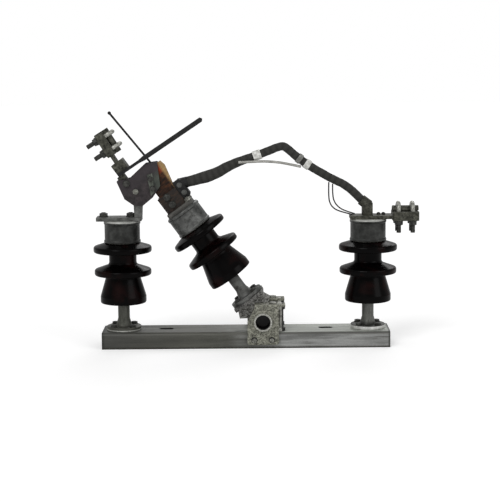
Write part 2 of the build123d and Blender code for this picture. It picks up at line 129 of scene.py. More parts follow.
def tint(
    tree: bpy.types.NodeTree,
    value: bpy.types.NodeSocket,
    border: tuple[float, float],
    under: str | bpy.types.NodeSocket,
    over: str | bpy.types.NodeSocket,
) -> bpy.types.NodeSocket:
    """Lets one colour take over from another where a pattern's value crosses a border.

    Args:
        tree: The node tree to add to.
        value: The pattern's value.
        border: The values at which the second colour begins and is full.
        under: The first colour, as hex or as a socket.
        over: The second colour, as hex or as a socket.

    Returns:
        The mixed colour.
    """
    share = add_node(
        tree, "ShaderNodeMapRange", inputs={"Value": value, "From Min": border[0], "From Max": border[1]}
    )
    pair = [linear(colour) if isinstance(colour, str) else colour for colour in (under, over)]
    mixed = add_node(
        tree, "ShaderNodeMix", {"data_type": "RGBA"}, {0: share.outputs["Result"], 6: pair[0], 7: pair[1]}
    )
    return mixed.outputs[2]


@dataclass(frozen=True)
class Finish:
    """What a piece is made of, as a material that is built on its first use."""

    name: str

    def material(self) -> bpy.types.Material:
        """Builds the material, or returns the one already built.

        Returns:
            The material, named for what it is.
        """
        known = bpy.data.materials.get(self.name)
        if known:
            return known
        made = bpy.data.materials.new(self.name)
        made.use_nodes = True
        self.wire(made.node_tree, made.node_tree.nodes["Principled BSDF"])
        return made

    def wire(self, tree: bpy.types.NodeTree, shader: bpy.types.Node) -> None:
        """Adds the finish's nodes to a new material.

        Args:
            tree: The material's node tree.
            shader: Its shader.
        """
        raise NotImplementedError


@dataclass(frozen=True)
class Fade:
    """A second colour that takes over along one axis of a piece, such as painted shade towards one end or a
    painted highlight along a rim.
    """

    colour: str
    axis: str
    start: float
    end: float


@dataclass(frozen=True)
class MetalFinish(Finish):
    """A worked metal surface: two mixed tones, stains, grain, and roughness and bump that follow them."""

    # Parts of the noise's range, in which most of its values lie
    TONES: ClassVar[tuple[float, float]] = (0.36, 0.64)
    MIDDLE: ClassVar[tuple[float, float]] = (0.3, 0.7)
    # Where stains begin, as a share of the unstained part, and how soon they are full
    STAIN_ONSET: ClassVar[float] = 0.72
    STAIN_BORDER: ClassVar[float] = 0.14
    # Least and most light of the specks and of the weathered patches
    SPECKS: ClassVar[tuple[float, float]] = (0.78, 1.12)
    WEATHERING: ClassVar[tuple[float, float]] = (0.76, 1.24)
    # How much of the noise is in its fine detail
    CLOUDINESS: ClassVar[float] = 0.6

    light: str
    dark: str
    stain: str
    patch: float = 45.0
    grain: float = 1.6
    stain_size: float = 14.0
    stain_share: float = 0.25
    metallic: float = 0.5
    roughness: tuple[float, float] = (0.38, 0.62)
    bump: float = 0.25
    bump_depth: float = 0.3
    turn: float = 0.0
    drawn: tuple[float, float, float] = (1.0, 1.0, 1.0)
    fades: tuple[Fade, ...] = ()

    def wire(self, tree: bpy.types.NodeTree, shader: bpy.types.Node) -> None:
        """Mixes tones, stains and fades, and lets roughness and bump follow them.

        Args:
            tree: The material's node tree.
            shader: Its shader.
        """
        spot = add_node(tree, "ShaderNodeTexCoord")
        turned = add_node(
            tree,
            "ShaderNodeMapping",
            inputs={"Vector": spot.outputs["Object"], "Rotation": (0.0, math.radians(self.turn), 0.0)},
        )
        place = turned.outputs["Vector"]
        drawn = add_node(tree, "ShaderNodeVectorMath", {"operation": "MULTIPLY"}, {0: place, 1: self.drawn})
        streaks = drawn.outputs["Vector"]
        patches, stains, grain = (
            add_node(
                tree,
                "ShaderNodeTexNoise",
                inputs={
                    "Vector": at,
                    "Scale": per_metre(size),
                    "Detail": detail,
                    "Roughness": self.CLOUDINESS,
                },
            ).outputs["Fac"]
            for at, size, detail in (
                (streaks, self.patch, 4.0),
                (streaks, self.stain_size, 6.0),
                (place, self.grain, 3.0),
            )
        )
        colour = tint(tree, patches, self.TONES, self.dark, self.light)
        onset = (1 - self.stain_share) * self.STAIN_ONSET
        colour = tint(tree, stains, (onset, onset + self.STAIN_BORDER), colour, self.stain)
        for fade in self.fades:
            colour = self.faded(tree, place, colour, fade)
        specks, weather = (
            add_node(
                tree,
                "ShaderNodeMapRange",
                inputs={
                    "Value": value,
                    "From Min": self.MIDDLE[0],
                    "From Max": self.MIDDLE[1],
                    "To Min": least,
                    "To Max": most,
                },
            ).outputs["Result"]
            for value, (least, most) in ((grain, self.SPECKS), (patches, self.WEATHERING))
        )
        shade = add_node(tree, "ShaderNodeMath", {"operation": "MULTIPLY"}, {0: specks, 1: weather})
        toned = add_node(
            tree,
            "ShaderNodeVectorMath",
            {"operation": "SCALE"},
            {0: colour, "Scale": shade.outputs["Value"]},
        )
        rough = add_node(
            tree,
            "ShaderNodeMapRange",
            inputs={"Value": patches, "To Min": self.roughness[0], "To Max": self.roughness[1]},
        )
        bump = add_node(
            tree,
            "ShaderNodeBump",
            inputs={"Strength": self.bump, "Distance": self.bump_depth * MM, "Height": grain},
        )
        tree.links.new(toned.outputs["Vector"], shader.inputs["Base Color"])
        tree.links.new(rough.outputs["Result"], shader.inputs["Roughness"])
        tree.links.new(bump.outputs["Normal"], shader.inputs["Normal"])
        shader.inputs["Metallic"].default_value = self.metallic

    def faded(
        self,
        tree: bpy.types.NodeTree,
        place: bpy.types.NodeSocket,
        colour: bpy.types.NodeSocket,
        fade: Fade,
    ) -> bpy.types.NodeSocket:
        """Lets a fade's colour take over along its axis, with a ragged border.

        Args:
            tree: The material's node tree.
            place: The piece's own coordinates.
            colour: The colour without the fade.
            fade: Where and to what it fades.

        Returns:
            The colour with the fade.
        """
        width = fade.end - fade.start
        axes = add_node(tree, "ShaderNodeSeparateXYZ", inputs={0: place})
        ragged = add_node(
            tree,
            "ShaderNodeTexNoise",
            inputs={
                "Vector": place,
                "Scale": per_metre(abs(width) / 2),
                "Detail": 3.0,
                "Roughness": self.CLOUDINESS,
            },
        )
        drift = add_node(
            tree,
            "ShaderNodeMath",
            {"operation": "MULTIPLY_ADD"},
            {0: ragged.outputs["Fac"], 1: width * MM, 2: axes.outputs[fade.axis]},
        )
        border = ((fade.start + width / 2) * MM, (fade.end + width / 2) * MM)
        return tint(tree, drift.outputs["Value"], border, colour, fade.colour)


# Hot-dip galvanised steel, weathered: dull zinc grey. Painted shade darkens and browns it towards the left
# end and lies in bands along the upper bend, along the bottom and at both ends; a painted highlight lightens
# the top face
CHANNEL_ZINC = MetalFinish(
    "galvanised_steel_channel",
    "#9a9b99",
    "#7c7d7a",
    "#595955",
    patch=9,
    stain_size=6,
    metallic=0.3,
    drawn=(0.07, 1.0, 1.0),
    fades=(
        Fade("#646460", "Z", 30.5, 33.0),
        Fade("#a5a8a1", "Z", 36.0, 37.2),
        Fade("#5a5a53", "X", 60, -60),
        Fade("#4a4a46", "X", -140, -300),
        Fade("#30302d", "X", -322, -328),
        Fade("#474744", "X", 324, 328),
        Fade("#33322c", "Z", 6, 1.5),
    ),
)
# Hot-dip galvanised steel, thick zinc on small forgings: mid grey with a soft broken sheen
POST_ZINC = MetalFinish("galvanised_steel_fittings", "#767774", "#4c4d4a", "#3a3934", patch=30, metallic=0.4)
# Galvanised malleable iron caps: dark grey zinc with a clear soft highlight, and a painted highlight round
# the top rim
CAP_ZINC = MetalFinish(
    "galvanised_iron_cap",
    "#424341",
    "#2a2b29",
    "#1f1f1c",
    patch=22,
    metallic=0.5,
    roughness=(0.34, 0.5),
    fades=(Fade("#c2c3be", "Z", 287.6, 289.4),),
)
# The tilting post's cap: the same iron, made lighter as painted light where its tilt catches the light
POST_CAP_ZINC = MetalFinish(
    "tilted_iron_cap_painted_light",
    "#6f706e",
    "#484947",
    "#2e2d29",
    patch=22,
    metallic=0.55,
    roughness=(0.32, 0.48),
)
# Zinc-washed sand casting: pale, yellowish and mottled with dark pits
BRACKET_CASTING = MetalFinish(
    "zinc_washed_casting",
    "#a6a698",
    "#7a7a6e",
    "#45453c",
    patch=5,
    grain=1.0,
    stain_size=2.6,
    stain_share=0.34,
    metallic=0.2,
    roughness=(0.5, 0.75),
    bump=0.3,
)
# Contact cheeks: rolled steel under old purple grey oxide, stained greenish where the copper enters
CHEEK_STEEL = MetalFinish(
    "verdigris_stained_steel",
    "#3e3739",
    "#2e292b",
    "#1d191b",
    patch=14,
    stain_size=8,
    metallic=0.3,
    roughness=(0.5, 0.7),
    turn=POST_LEAN,
    fades=(Fade("#474c45", "X", 46, 60), Fade("#393336", "Z", 436, 450)),
)
# Blackened round and flat bar of the horns: soot black with a faint edge sheen
HORN_STEEL = MetalFinish(
    "blackened_steel_bar",
    "#202020",
    "#121212",
    "#090909",
    patch=20,
    metallic=0.3,
    roughness=(0.45, 0.65),
)
# Tinned cast bronze of the clamps: dull grey green with dark hollows
CLAMP_CASTING = MetalFinish(
    "tinned_bronze_casting",
    "#5b5b51",
    "#39392f",
    "#1f1f19",
    patch=10,
    stain_size=6,
    stain_share=0.32,
    metallic=0.4,
    roughness=(0.42, 0.62),
    bump=0.4,
)
# Zinc-plated nuts and bolts: the palest metal on the switch
BOLT_ZINC = MetalFinish(
    "zinc_plated_fasteners",
    "#a3a39b",
    "#6f6f68",
    "#3a3a34",
    patch=6,
    grain=0.8,
    stain_size=4,
    metallic=0.6,
    roughness=(0.3, 0.5),
)
# Right U-bolts: bows bright, tails darkened with painted shade below the clamp's body
U_BOLT_ZINC = MetalFinish(
    "zinc_plated_u_bolt_painted_shade",
    "#c6c6be",
    "#8e8e86",
    "#4c4c45",
    patch=6,
    grain=0.8,
    stain_size=4,
    metallic=0.5,
    roughness=(0.3, 0.5),
    fades=(Fade("#33332f", "Z", 291, 287),),
)
# Left U-bolts: the same, with the clamp's lean
LEFT_U_BOLT_ZINC = replace(
    U_BOLT_ZINC,
    name="zinc_plated_leaning_u_bolt_painted_shade",
    turn=LEFT_CLAMP_LEAN,
    fades=(Fade("#33332f", "X", -27, -31),),
)
# Greasy dark bolts: the same steel with its zinc gone; it also colours the dark washers that stand as painted
# shadow above the bracket's bolt heads
BOLT_DARK = MetalFinish(
    "oxidised_fasteners_and_shadow_washers",
    "#4a4a46",
    "#2c2c29",
    "#1a1a18",
    patch=6,
    grain=0.8,
    stain_size=4,
    metallic=0.4,
    roughness=(0.4, 0.6),
)
# Laminated copper, burnt dark brown below, red brown towards the top, and lightened to tan on its right-hand
# side by painted light
LEAF_COPPER = MetalFinish(
    "laminated_copper_painted_light",
    "#4a2b16",
    "#22140c",
    "#0e0906",
    patch=4,
    stain_size=2.6,
    metallic=0.55,
    roughness=(0.38, 0.58),
    turn=POST_LEAN,
    drawn=(0.3, 1.0, 1.0),
    fades=(Fade("#8c3a1c", "Z", 434, 442), Fade("#a8895c", "X", 85, 91)),
)
# Contact foot: steel side plates streaked brown by the copper that they clamp, on a greyer plate
FOOT_STEEL = MetalFinish(
    "copper_stained_steel",
    "#2f2014",
    "#140d09",
    "#080604",
    patch=4,
    stain_size=2.6,
    metallic=0.25,
    roughness=(0.5, 0.7),
    turn=POST_LEAN,
    drawn=(0.3, 1.0, 1.0),
    fades=(Fade("#555450", "Z", 350.4, 349.2),),
)
# Rocker arms: forged plate, mottled where the zinc has worn through to dark steel
ARM_STEEL = MetalFinish(
    "worn_zinc_forging",
    "#cfcec9",
    "#989792",
    "#45443f",
    patch=6,
    stain_size=3.5,
    stain_share=0.38,
    metallic=0.3,
    roughness=(0.45, 0.7),
)
# Shaft ends: zinc painted bright round the mouth of the socket, as a painted highlight
SHAFT_ZINC = MetalFinish(
    "bright_zinc_shaft_painted_highlight",
    "#d2d2ca",
    "#9a9a92",
    "#55554e",
    patch=3,
    grain=0.8,
    stain_size=2.4,
    metallic=0.5,
    roughness=(0.3, 0.5),
)
# Left pin: dull yellowish zinc, with painted shade on top of the flange and a painted highlight along its
# lower rim
LEFT_PIN_ZINC = MetalFinish(
    "weathered_steel_pin",
    "#6b6c64",
    "#4d4e46",
    "#34342d",
    patch=12,
    stain_size=6,
    metallic=0.4,
    drawn=(1.0, 1.0, 0.3),
    fades=(Fade("#4b4b44", "Z", 52, 48), Fade("#cfd0ca", "Z", 41.8, 40.6)),
)
# Right pin: brighter zinc than the left pin, as painted light, with painted shade on top of the flange and a
# painted highlight round its rim
RIGHT_PIN_ZINC = MetalFinish(
    "galvanised_steel_pin",
    "#83847f",
    "#63645f",
    "#41413c",
    patch=12,
    stain_size=6,
    metallic=0.4,
    drawn=(1.0, 1.0, 0.3),
    fades=(Fade("#33332f", "Z", 56, 50), Fade("#dededa", "Z", 46.2, 45.2)),
)
# Saddle: the arms' forging, darker under the post's flange
SADDLE_STEEL = replace(
    ARM_STEEL, name="shaded_zinc_forging", light="#8c8b87", dark="#605f5c", stain="#33322f"
)
# Stop studs: bright plated thread, with painted shade on the side towards the lead
STUD_ZINC = MetalFinish(
    "plated_stop_stud_painted_shade",
    "#dcdcd4",
    "#a8a8a0",
    "#5c5c55",
    patch=5,
    grain=0.8,
    stain_size=3,
    metallic=0.4,
    roughness=(0.35, 0.55),
    fades=(Fade("#242421", "X", 80.5, 83.5),),
)
# Jaw straps: zinc gone dull and greenish under grease
STRAP_ZINC = MetalFinish(
    "greased_zinc_strap", "#646960", "#474b43", "#30322c", patch=12, metallic=0.3, roughness=(0.45, 0.7)
)
# Painted shade in the shaft's sockets and in the channel's slots: black linings with a wet shine
SHADE_LINING = MetalFinish(
    "black_lining_painted_shade", "#141312", "#0b0a0a", "#050505", patch=9, metallic=0.0, roughness=(0.35, 0.6)
)


@dataclass(frozen=True)
class GlazedPorcelain(Finish):
    """Brown glazed porcelain: near black, wet shine, with a maroon cast where the glaze thins."""

    name: str = "brown_glazed_porcelain"
    glaze: str = "#040303"
    thin: str = "#1c0908"
    pool: float = 40.0
    orange_peel: float = 5.0
    border: tuple[float, float] = (0.5, 0.76)
    roughness: tuple[float, float] = (0.12, 0.36)
    bump: float = 0.12
    bump_depth: float = 0.4
    shine: float = 0.07

    def wire(self, tree: bpy.types.NodeTree, shader: bpy.types.Node) -> None:
        """Lets the glaze pool and thin, with dust where it is thin and an orange peel all over.

        Args:
            tree: The material's node tree.
            shader: Its shader.
        """
        spot = add_node(tree, "ShaderNodeTexCoord").outputs["Object"]
        pool, peel = (
            add_node(
                tree,
                "ShaderNodeTexNoise",
                inputs={"Vector": spot, "Scale": per_metre(size), "Detail": detail},
            ).outputs["Fac"]
            for size, detail in ((self.pool, 3.0), (self.orange_peel, 2.0))
        )
        dust = add_node(
            tree,
            "ShaderNodeMapRange",
            inputs={"Value": pool, "To Min": self.roughness[0], "To Max": self.roughness[1]},
        )
        bump = add_node(
            tree,
            "ShaderNodeBump",
            inputs={"Strength": self.bump, "Distance": self.bump_depth * MM, "Height": peel},
        )
        tree.links.new(tint(tree, pool, self.border, self.glaze, self.thin), shader.inputs["Base Color"])
        tree.links.new(dust.outputs["Result"], shader.inputs["Roughness"])
        tree.links.new(bump.outputs["Normal"], shader.inputs["Normal"])
        shader.inputs["Specular IOR Level"].default_value = self.shine


@dataclass(frozen=True)
class WoundFinish(Finish):
    """A cord's skin, drawn on its own UV map: turns of tape, or crossing wires of a braid."""

    light: str
    dark: str
    turns: float
    rows: float
    metallic: float
    roughness: float
    relief: float
    dirt: float = 9.0
    weave_share: float = 0.3
    border: tuple[float, float] = (0.2, 0.9)
    bump: float = 0.6

    def wire(self, tree: bpy.types.NodeTree, shader: bpy.types.Node) -> None:
        """Crosses two slanted waves, dirties them, and lets colour and bump follow.

        Args:
            tree: The material's node tree.
            shader: Its shader.
        """
        skin = add_node(tree, "ShaderNodeUVMap", {"uv_map": "skin"})
        axes = add_node(tree, "ShaderNodeSeparateXYZ", inputs={0: skin.outputs["UV"]})
        waves = []
        for side in (1.0, -1.0):
            slant = add_node(
                tree,
                "ShaderNodeMath",
                {"operation": "MULTIPLY"},
                {0: axes.outputs["X"], 1: side * self.rows * math.tau},
            )
            run = add_node(
                tree,
                "ShaderNodeMath",
                {"operation": "MULTIPLY_ADD"},
                {0: axes.outputs["Y"], 1: self.turns * math.tau, 2: slant.outputs["Value"]},
            )
            wave = add_node(tree, "ShaderNodeMath", {"operation": "SINE"}, {0: run.outputs["Value"]})
            waves.append(wave.outputs["Value"])
        weave = add_node(tree, "ShaderNodeMath", {"operation": "MAXIMUM"}, {0: waves[0], 1: waves[1]})
        spot = add_node(tree, "ShaderNodeTexCoord")
        dirt = add_node(
            tree,
            "ShaderNodeTexNoise",
            inputs={"Vector": spot.outputs["Object"], "Scale": per_metre(self.dirt), "Detail": 5.0},
        )
        height = add_node(
            tree,
            "ShaderNodeMath",
            {"operation": "MULTIPLY_ADD"},
            {0: weave.outputs["Value"], 1: self.weave_share, 2: dirt.outputs["Fac"]},
        ).outputs["Value"]
        bump = add_node(
            tree,
            "ShaderNodeBump",
            inputs={"Strength": self.bump, "Distance": self.relief * MM, "Height": height},
        )
        tree.links.new(tint(tree, height, self.border, self.dark, self.light), shader.inputs["Base Color"])
        tree.links.new(bump.outputs["Normal"], shader.inputs["Normal"])
        shader.inputs["Metallic"].default_value = self.metallic
        shader.inputs["Roughness"].default_value = self.roughness


# Friction tape round the lead: matt charcoal cloth with lapped turns
TAPE = WoundFinish("charcoal_friction_tape", "#343431", "#242421", 70, 1, 0.0, 0.85, 0.35)
# Tinned copper braid: pale crossing wires, dull from the weather
BRAID = WoundFinish("tinned_copper_braid", "#c9c8c2", "#6f6e68", 160, 6, 0.6, 0.45, 0.3)
# Enamelled bell wire: thin and almost black
WIRE = WoundFinish("black_enamelled_wire", "#20201e", "#111110", 40, 1, 0.0, 0.5, 0.05)
# Nylon tie bands: milky white, chalked by the sun
TIE_WHITE = MetalFinish(
    "white_nylon_tie", "#e9e9e5", "#cfcfc9", "#aeaea6", patch=8, metallic=0.0, roughness=(0.4, 0.6)
)
# Grey tie band: the same nylon in grey
TIE_GREY = MetalFinish(
    "grey_nylon_tie", "#8f8f8a", "#74746f", "#585853", patch=8, metallic=0.0, roughness=(0.4, 0.6)
)
# Neat cement between cap and porcelain: pale grey, gritty and matt
CEMENT = MetalFinish(
    "neat_cement", "#a7a49b", "#85827a", "#5e5b54", patch=10, grain=0.9, metallic=0.0, roughness=(0.8, 0.95)
)
PORCELAIN = GlazedPorcelain()


# Frame and pieces


@dataclass(frozen=True)
class TiltedPost:
    """The middle post's own frame, at rest: across it, through it and up it from the pivot."""

    pivot: Vector
    tilt: float

    def at(self, across: float, through: float, up: float) -> Vector:
        """A point of the middle post, in metres, from millimetres in its own frame."""
        return self.pivot + self.turned(Vector((across, through, up))) * MM

    def turned(self, direction: Vector) -> Vector:
        """A direction of the middle post, turned into the row frame."""
        return Matrix.Rotation(-self.tilt, 3, "Y") @ direction

    def matrix(self) -> Matrix:
        """The whole placement, in metres."""
        return Matrix.Translation(self.pivot) @ Matrix.Rotation(-self.tilt, 4, "Y")


ROCKER = TiltedPost(Vector(frame["joints"][0]["pos_m"]), math.radians(POST_LEAN))
# Angles between faces, in degrees: up to the first they count as one flat face, and from the second on the
# edge between them is broken
FLAT_WITHIN = 0.6
SHARP_FROM = 38


def in_scene(name: str, data: bpy.types.ID) -> bpy.types.Object:
    """Makes an object of some data and puts it in the scene.

    Args:
        name: The object's name.
        data: A mesh, curve, camera or lamp.

    Returns:
        The object.
    """
    thing = bpy.data.objects.new(name, data)
    bpy.context.scene.collection.objects.link(thing)
    return thing


def as_mesh(shape: bmesh.types.BMesh, name: str) -> bpy.types.Mesh:
    """Turns a worked shape into a mesh and lets the shape go.

    Args:
        shape: The shape, which is freed.
        name: The mesh's name.

    Returns:
        The mesh.
    """
    mesh = bpy.data.meshes.new(name)
    shape.to_mesh(mesh)
    shape.free()
    return mesh


def bridge(
    shape: bmesh.types.BMesh, first: Sequence[bmesh.types.BMVert], second: Sequence[bmesh.types.BMVert]
) -> None:
    """Joins two rings of as many points by a band of faces.

    Args:
        shape: The shape that they belong to.
        first: One ring's points.
        second: The other's, in the same order.
    """
    for side in range(len(first)):
        beside = (side + 1) % len(first)
        shape.faces.new((first[side], first[beside], second[beside], second[side]))


def add_piece(
    name: str,
    mesh: bpy.types.Mesh,
    finish: Finish,
    body: Body | None,
    replaces: Sequence[str] = (),
) -> bpy.types.Object:
    """Adds a finished mesh as a piece of the switch.

    Args:
        name: The piece's name.
        mesh: Its mesh, already in place.
        finish: What it is made of.
        body: The body that it rides on, or None for a piece that rides on neither.
        replaces: CAD nodes that it stands for.

    Returns:
        The object.
    """
    piece = in_scene(name, mesh)
    mesh.materials.clear()
    mesh.materials.append(finish.material())
    if body:
        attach(piece, body.value)
    if replaces:
        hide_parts(*replaces)
    LOG.info("%s: %d faces, %s", name, len(mesh.polygons), finish.name)
    return piece


def paint(node: str, finish: Finish) -> None:
    """Gives a CAD node its finish."""
    target = frame["nodes"][node]
    target.data.materials.clear()
    target.data.materials.append(finish.material())
    LOG.info("%s: %s", node, finish.name)


def shade(mesh: bpy.types.Mesh, crease: float = 35.0) -> bpy.types.Mesh:
    """Shades a mesh smooth, with creases kept where faces meet at more than that many degrees."""
    mesh.shade_smooth()
    mesh.set_sharp_from_angle(angle=math.radians(crease))
    return mesh


def evaluated(piece: bpy.types.Object) -> bpy.types.Mesh:
    """The plain mesh of a helper object with its modifiers, which is then removed."""
    depsgraph = bpy.context.evaluated_depsgraph_get()
    mesh = bpy.data.meshes.new_from_object(piece.evaluated_get(depsgraph))
    bpy.data.objects.remove(piece)
    return mesh


def soften(node: str, finish: Finish, body: Body, edge: float = 0.7) -> bpy.types.Object:
    """Replaces a CAD node by a copy whose sharp edges are broken, as on a real casting or forging.

    Args:
        node: The CAD node.
        finish: What it is made of.
        body: The body that it rides on.
        edge: Width of the broken edge.

    Returns:
        The dressed piece.
    """
    shape = bmesh.new()
    shape.from_mesh(frame["nodes"][node].data)
    bmesh.ops.remove_doubles(shape, verts=shape.verts, dist=0.001 * MM)
    bmesh.ops.dissolve_limit(
        shape, angle_limit=math.radians(FLAT_WITHIN), verts=shape.verts, edges=shape.edges
    )
    mesh = as_mesh(shape, f"{node}_dressed")
    for layer in ("custom_normal", "sharp_face", "sharp_edge"):
        if layer in mesh.attributes:
            mesh.attributes.remove(mesh.attributes[layer])
    helper = in_scene(f"{node}_helper", mesh)
    breaking = helper.modifiers.new("broken_edges", "BEVEL")
    breaking.width = edge * MM
    breaking.segments = 2
    breaking.limit_method = "ANGLE"
    breaking.angle_limit = math.radians(SHARP_FROM)
    breaking.miter_outer = "MITER_ARC"
    dressed = evaluated(helper)
    return add_piece(f"{node}_dressed", shade(dressed), finish, body, (node,))


# Turned shapes


@dataclass(frozen=True)
class Corner:
    """A corner of a turned profile, with the radius that rounds it."""

    radius: float
    height: float
    round: float = 0.0


def rounded(corners: Sequence[Corner], steps: int = 7) -> list[tuple[float, float]]:
    """Rounds the corners of a profile.

    Args:
        corners: The profile's corners in order.
        steps: Points on each rounded corner.

    Returns:
        Radius and height of each point of the rounded profile.
    """
    points: list[tuple[float, float]] = []
    for index, corner in enumerate(corners):
        here = Vector((corner.radius, corner.height))
        if corner.round <= 0 or index in (0, len(corners) - 1):
            points.append((here.x, here.y))
            continue
        before = Vector((corners[index - 1].radius, corners[index - 1].height)) - here
        after = Vector((corners[index + 1].radius, corners[index + 1].height)) - here
        half = before.angle(after) / 2
        room = 0.48 * min(before.length, after.length)
        reach = min(corner.round / math.tan(half), room)
        start = here + before.normalized() * reach
        end = here + after.normalized() * reach
        for step in range(steps):
            t = step / (steps - 1)
            spot = (1 - t) ** 2 * start + 2 * t * (1 - t) * here + t**2 * end
            points.append((spot.x, spot.y))
    return points


def turned_mesh(
    name: str, profile: Sequence[tuple[float, float]], place: Matrix, sides: int = 96
) -> bpy.types.Mesh:
    """Turns a profile about the vertical axis.

    Args:
        name: The mesh's name.
        profile: Radius and height of each point, from the lower end of the axis round to the upper one.
        place: Where the axis stands, in metres.
        sides: Number of facets round it.

    Returns:
        A closed mesh.
    """
    shape = bmesh.new()
    rings: list[list[bmesh.types.BMVert]] = []
    for radius, height in profile:
        if radius < 1e-6:
            rings.append([shape.verts.new((0.0, 0.0, height * MM))])
            continue
        ring = []
        for side in range(sides):
            angle = math.tau * side / sides
            spot = (radius * MM * math.cos(angle), radius * MM * math.sin(angle), height * MM)
            ring.append(shape.verts.new(spot))
        rings.append(ring)
    for lower, upper in zip(rings, rings[1:]):
        if len(lower) == len(upper):
            bridge(shape, lower, upper)
            continue
        ring, pole, closing = (upper, lower[0], -1) if len(lower) == 1 else (lower, upper[0], 1)
        for side in range(sides):
            shape.faces.new((ring[side], ring[(side + 1) % sides], pole)[::closing])
    if len(rings[0]) > 1:
        bridge(shape, rings[-1], rings[0])
    bmesh.ops.recalc_face_normals(shape, faces=shape.faces)
    bmesh.ops.transform(shape, matrix=place, verts=shape.verts)
    return as_mesh(shape, name)


# Geometry Nodes


class GrowingTree:
    """A Geometry Nodes tree made in the script, run once on a helper mesh and turned into plain mesh."""

    def __init__(self, name: str, sizes: Iterable[str]) -> None:
        """Starts a tree with a geometry input, a material input and one input for each size.

        Args:
            name: Name of the tree.
            sizes: Names of its sizes, in metres.
        """
        self.tree = bpy.data.node_groups.new(name, "GeometryNodeTree")
        face = self.tree.interface
        face.new_socket(name="Geometry", in_out="INPUT", socket_type="NodeSocketGeometry")
        kinds = {"Material": "NodeSocketMaterial"} | {size: "NodeSocketFloat" for size in sizes}
        self.inputs = {
            label: face.new_socket(name=label, in_out="INPUT", socket_type=kind)
            for label, kind in kinds.items()
        }
        face.new_socket(name="Geometry", in_out="OUTPUT", socket_type="NodeSocketGeometry")
        self.start = add_node(self.tree, "NodeGroupInput")

    def add(self, kind: str, settings: dict[str, object] | None = None, **inputs: object) -> bpy.types.Node:
        """Adds a node; an input's name is written with underscores for its spaces."""
        named = {key.replace("_", " "): value for key, value in inputs.items()}
        return add_node(self.tree, kind, settings, named)

    def size(self, name: str) -> bpy.types.NodeSocket:
        """The socket of one of the tree's sizes."""
        return self.start.outputs[name]

    def scaled(
        self, value: bpy.types.NodeSocket, factor: float, offset: float | bpy.types.NodeSocket = 0.0
    ) -> bpy.types.NodeSocket:
        """A value times a factor, plus an offset."""
        product = add_node(
            self.tree, "ShaderNodeMath", {"operation": "MULTIPLY_ADD"}, {0: value, 1: factor, 2: offset}
        )
        return product.outputs[0]

    def raised(self, shape: bpy.types.NodeSocket, height: bpy.types.NodeSocket) -> bpy.types.NodeSocket:
        """A shape moved up its own Z axis."""
        lift = self.add("ShaderNodeCombineXYZ", Z=height)
        moved = self.add("GeometryNodeTransform", Geometry=shape, Translation=lift.outputs[0])
        return moved.outputs[0]

    def drum(
        self,
        radius: bpy.types.NodeSocket,
        low: bpy.types.NodeSocket,
        height: bpy.types.NodeSocket,
        sides: int,
    ) -> bpy.types.NodeSocket:
        """A prism with that many sides, standing on the height low."""
        prism = self.add("GeometryNodeMeshCylinder", Vertices=sides, Radius=radius, Depth=height)
        return self.raised(prism.outputs["Mesh"], self.scaled(height, 0.5, low))

    def planted(self, shape: bpy.types.NodeSocket, spin: float) -> bpy.types.NodeSocket:
        """The shape on every point of the input, standing along the point's axis and spun at random."""
        axis = self.add("GeometryNodeInputNamedAttribute", {"data_type": "FLOAT_VECTOR"}, Name="axis")
        stand = self.add(
            "FunctionNodeAlignRotationToVector", {"axis": "Z"}, Vector=axis.outputs["Attribute"]
        )
        turn = add_node(
            self.tree,
            "FunctionNodeRandomValue",
            {"data_type": "FLOAT_VECTOR"},
            {0: (0.0, 0.0, 0.0), 1: (0.0, 0.0, spin), "Seed": 7},
        )
        spun = self.add(
            "FunctionNodeRotateRotation",
            {"rotation_space": "LOCAL"},
            Rotation=stand.outputs[0],
            Rotate_By=turn.outputs[0],
        )
        planted = self.add(
            "GeometryNodeInstanceOnPoints",
            Points=self.start.outputs["Geometry"],
            Instance=shape,
            Rotation=spun.outputs[0],
        )
        return planted.outputs[0]

    def end(self, shape: bpy.types.NodeSocket) -> None:
        """Closes the tree with real geometry in the tree's material."""
        real = self.add("GeometryNodeRealizeInstances", Geometry=shape)
        coated = self.add(
            "GeometryNodeSetMaterial", Geometry=real.outputs[0], Material=self.start.outputs["Material"]
        )
        add_node(self.tree, "NodeGroupOutput", inputs={0: coated.outputs[0]})

    def grow(
        self, name: str, spots: Sequence[tuple[Vector, Vector]], finish: Finish, sizes: dict[str, float]
    ) -> bpy.types.Mesh:
        """Runs the tree on a set of points.

        Args:
            name: Name of the mesh.
            spots: Place and axis of each copy.
            finish: The finish of the result.
            sizes: The tree's sizes, in millimetres.

        Returns:
            The plain mesh.
        """
        points = bpy.data.meshes.new(name)
        points.from_pydata([tuple(place) for place, _ in spots], [], [])
        axes = points.attributes.new("axis", "FLOAT_VECTOR", "POINT")
        for index, (_, axis) in enumerate(spots):
            axes.data[index].vector = axis
        helper = in_scene(f"{name}_points", points)
        growth = helper.modifiers.new("growth", "NODES")
        growth.node_group = self.tree
        growth[self.inputs["Material"].identifier] = finish.material()
        for size, value in sizes.items():
            growth[self.inputs[size].identifier] = value * MM
        return shade(evaluated(helper))


BOLT_SIZES = ("Across", "Height", "Washer", "Plate", "Thread", "Proud")
# A hexagon's chamfered face: its rim and its flat as shares of the hexagon's corner radius, and its height as
# a share of the hexagon's
FACE_RIM = 0.86
FACE_FLAT = 0.74
FACE_HEIGHT = 0.1
# A thread's valley as a share of its crest's radius
THREAD_VALLEY = 0.93


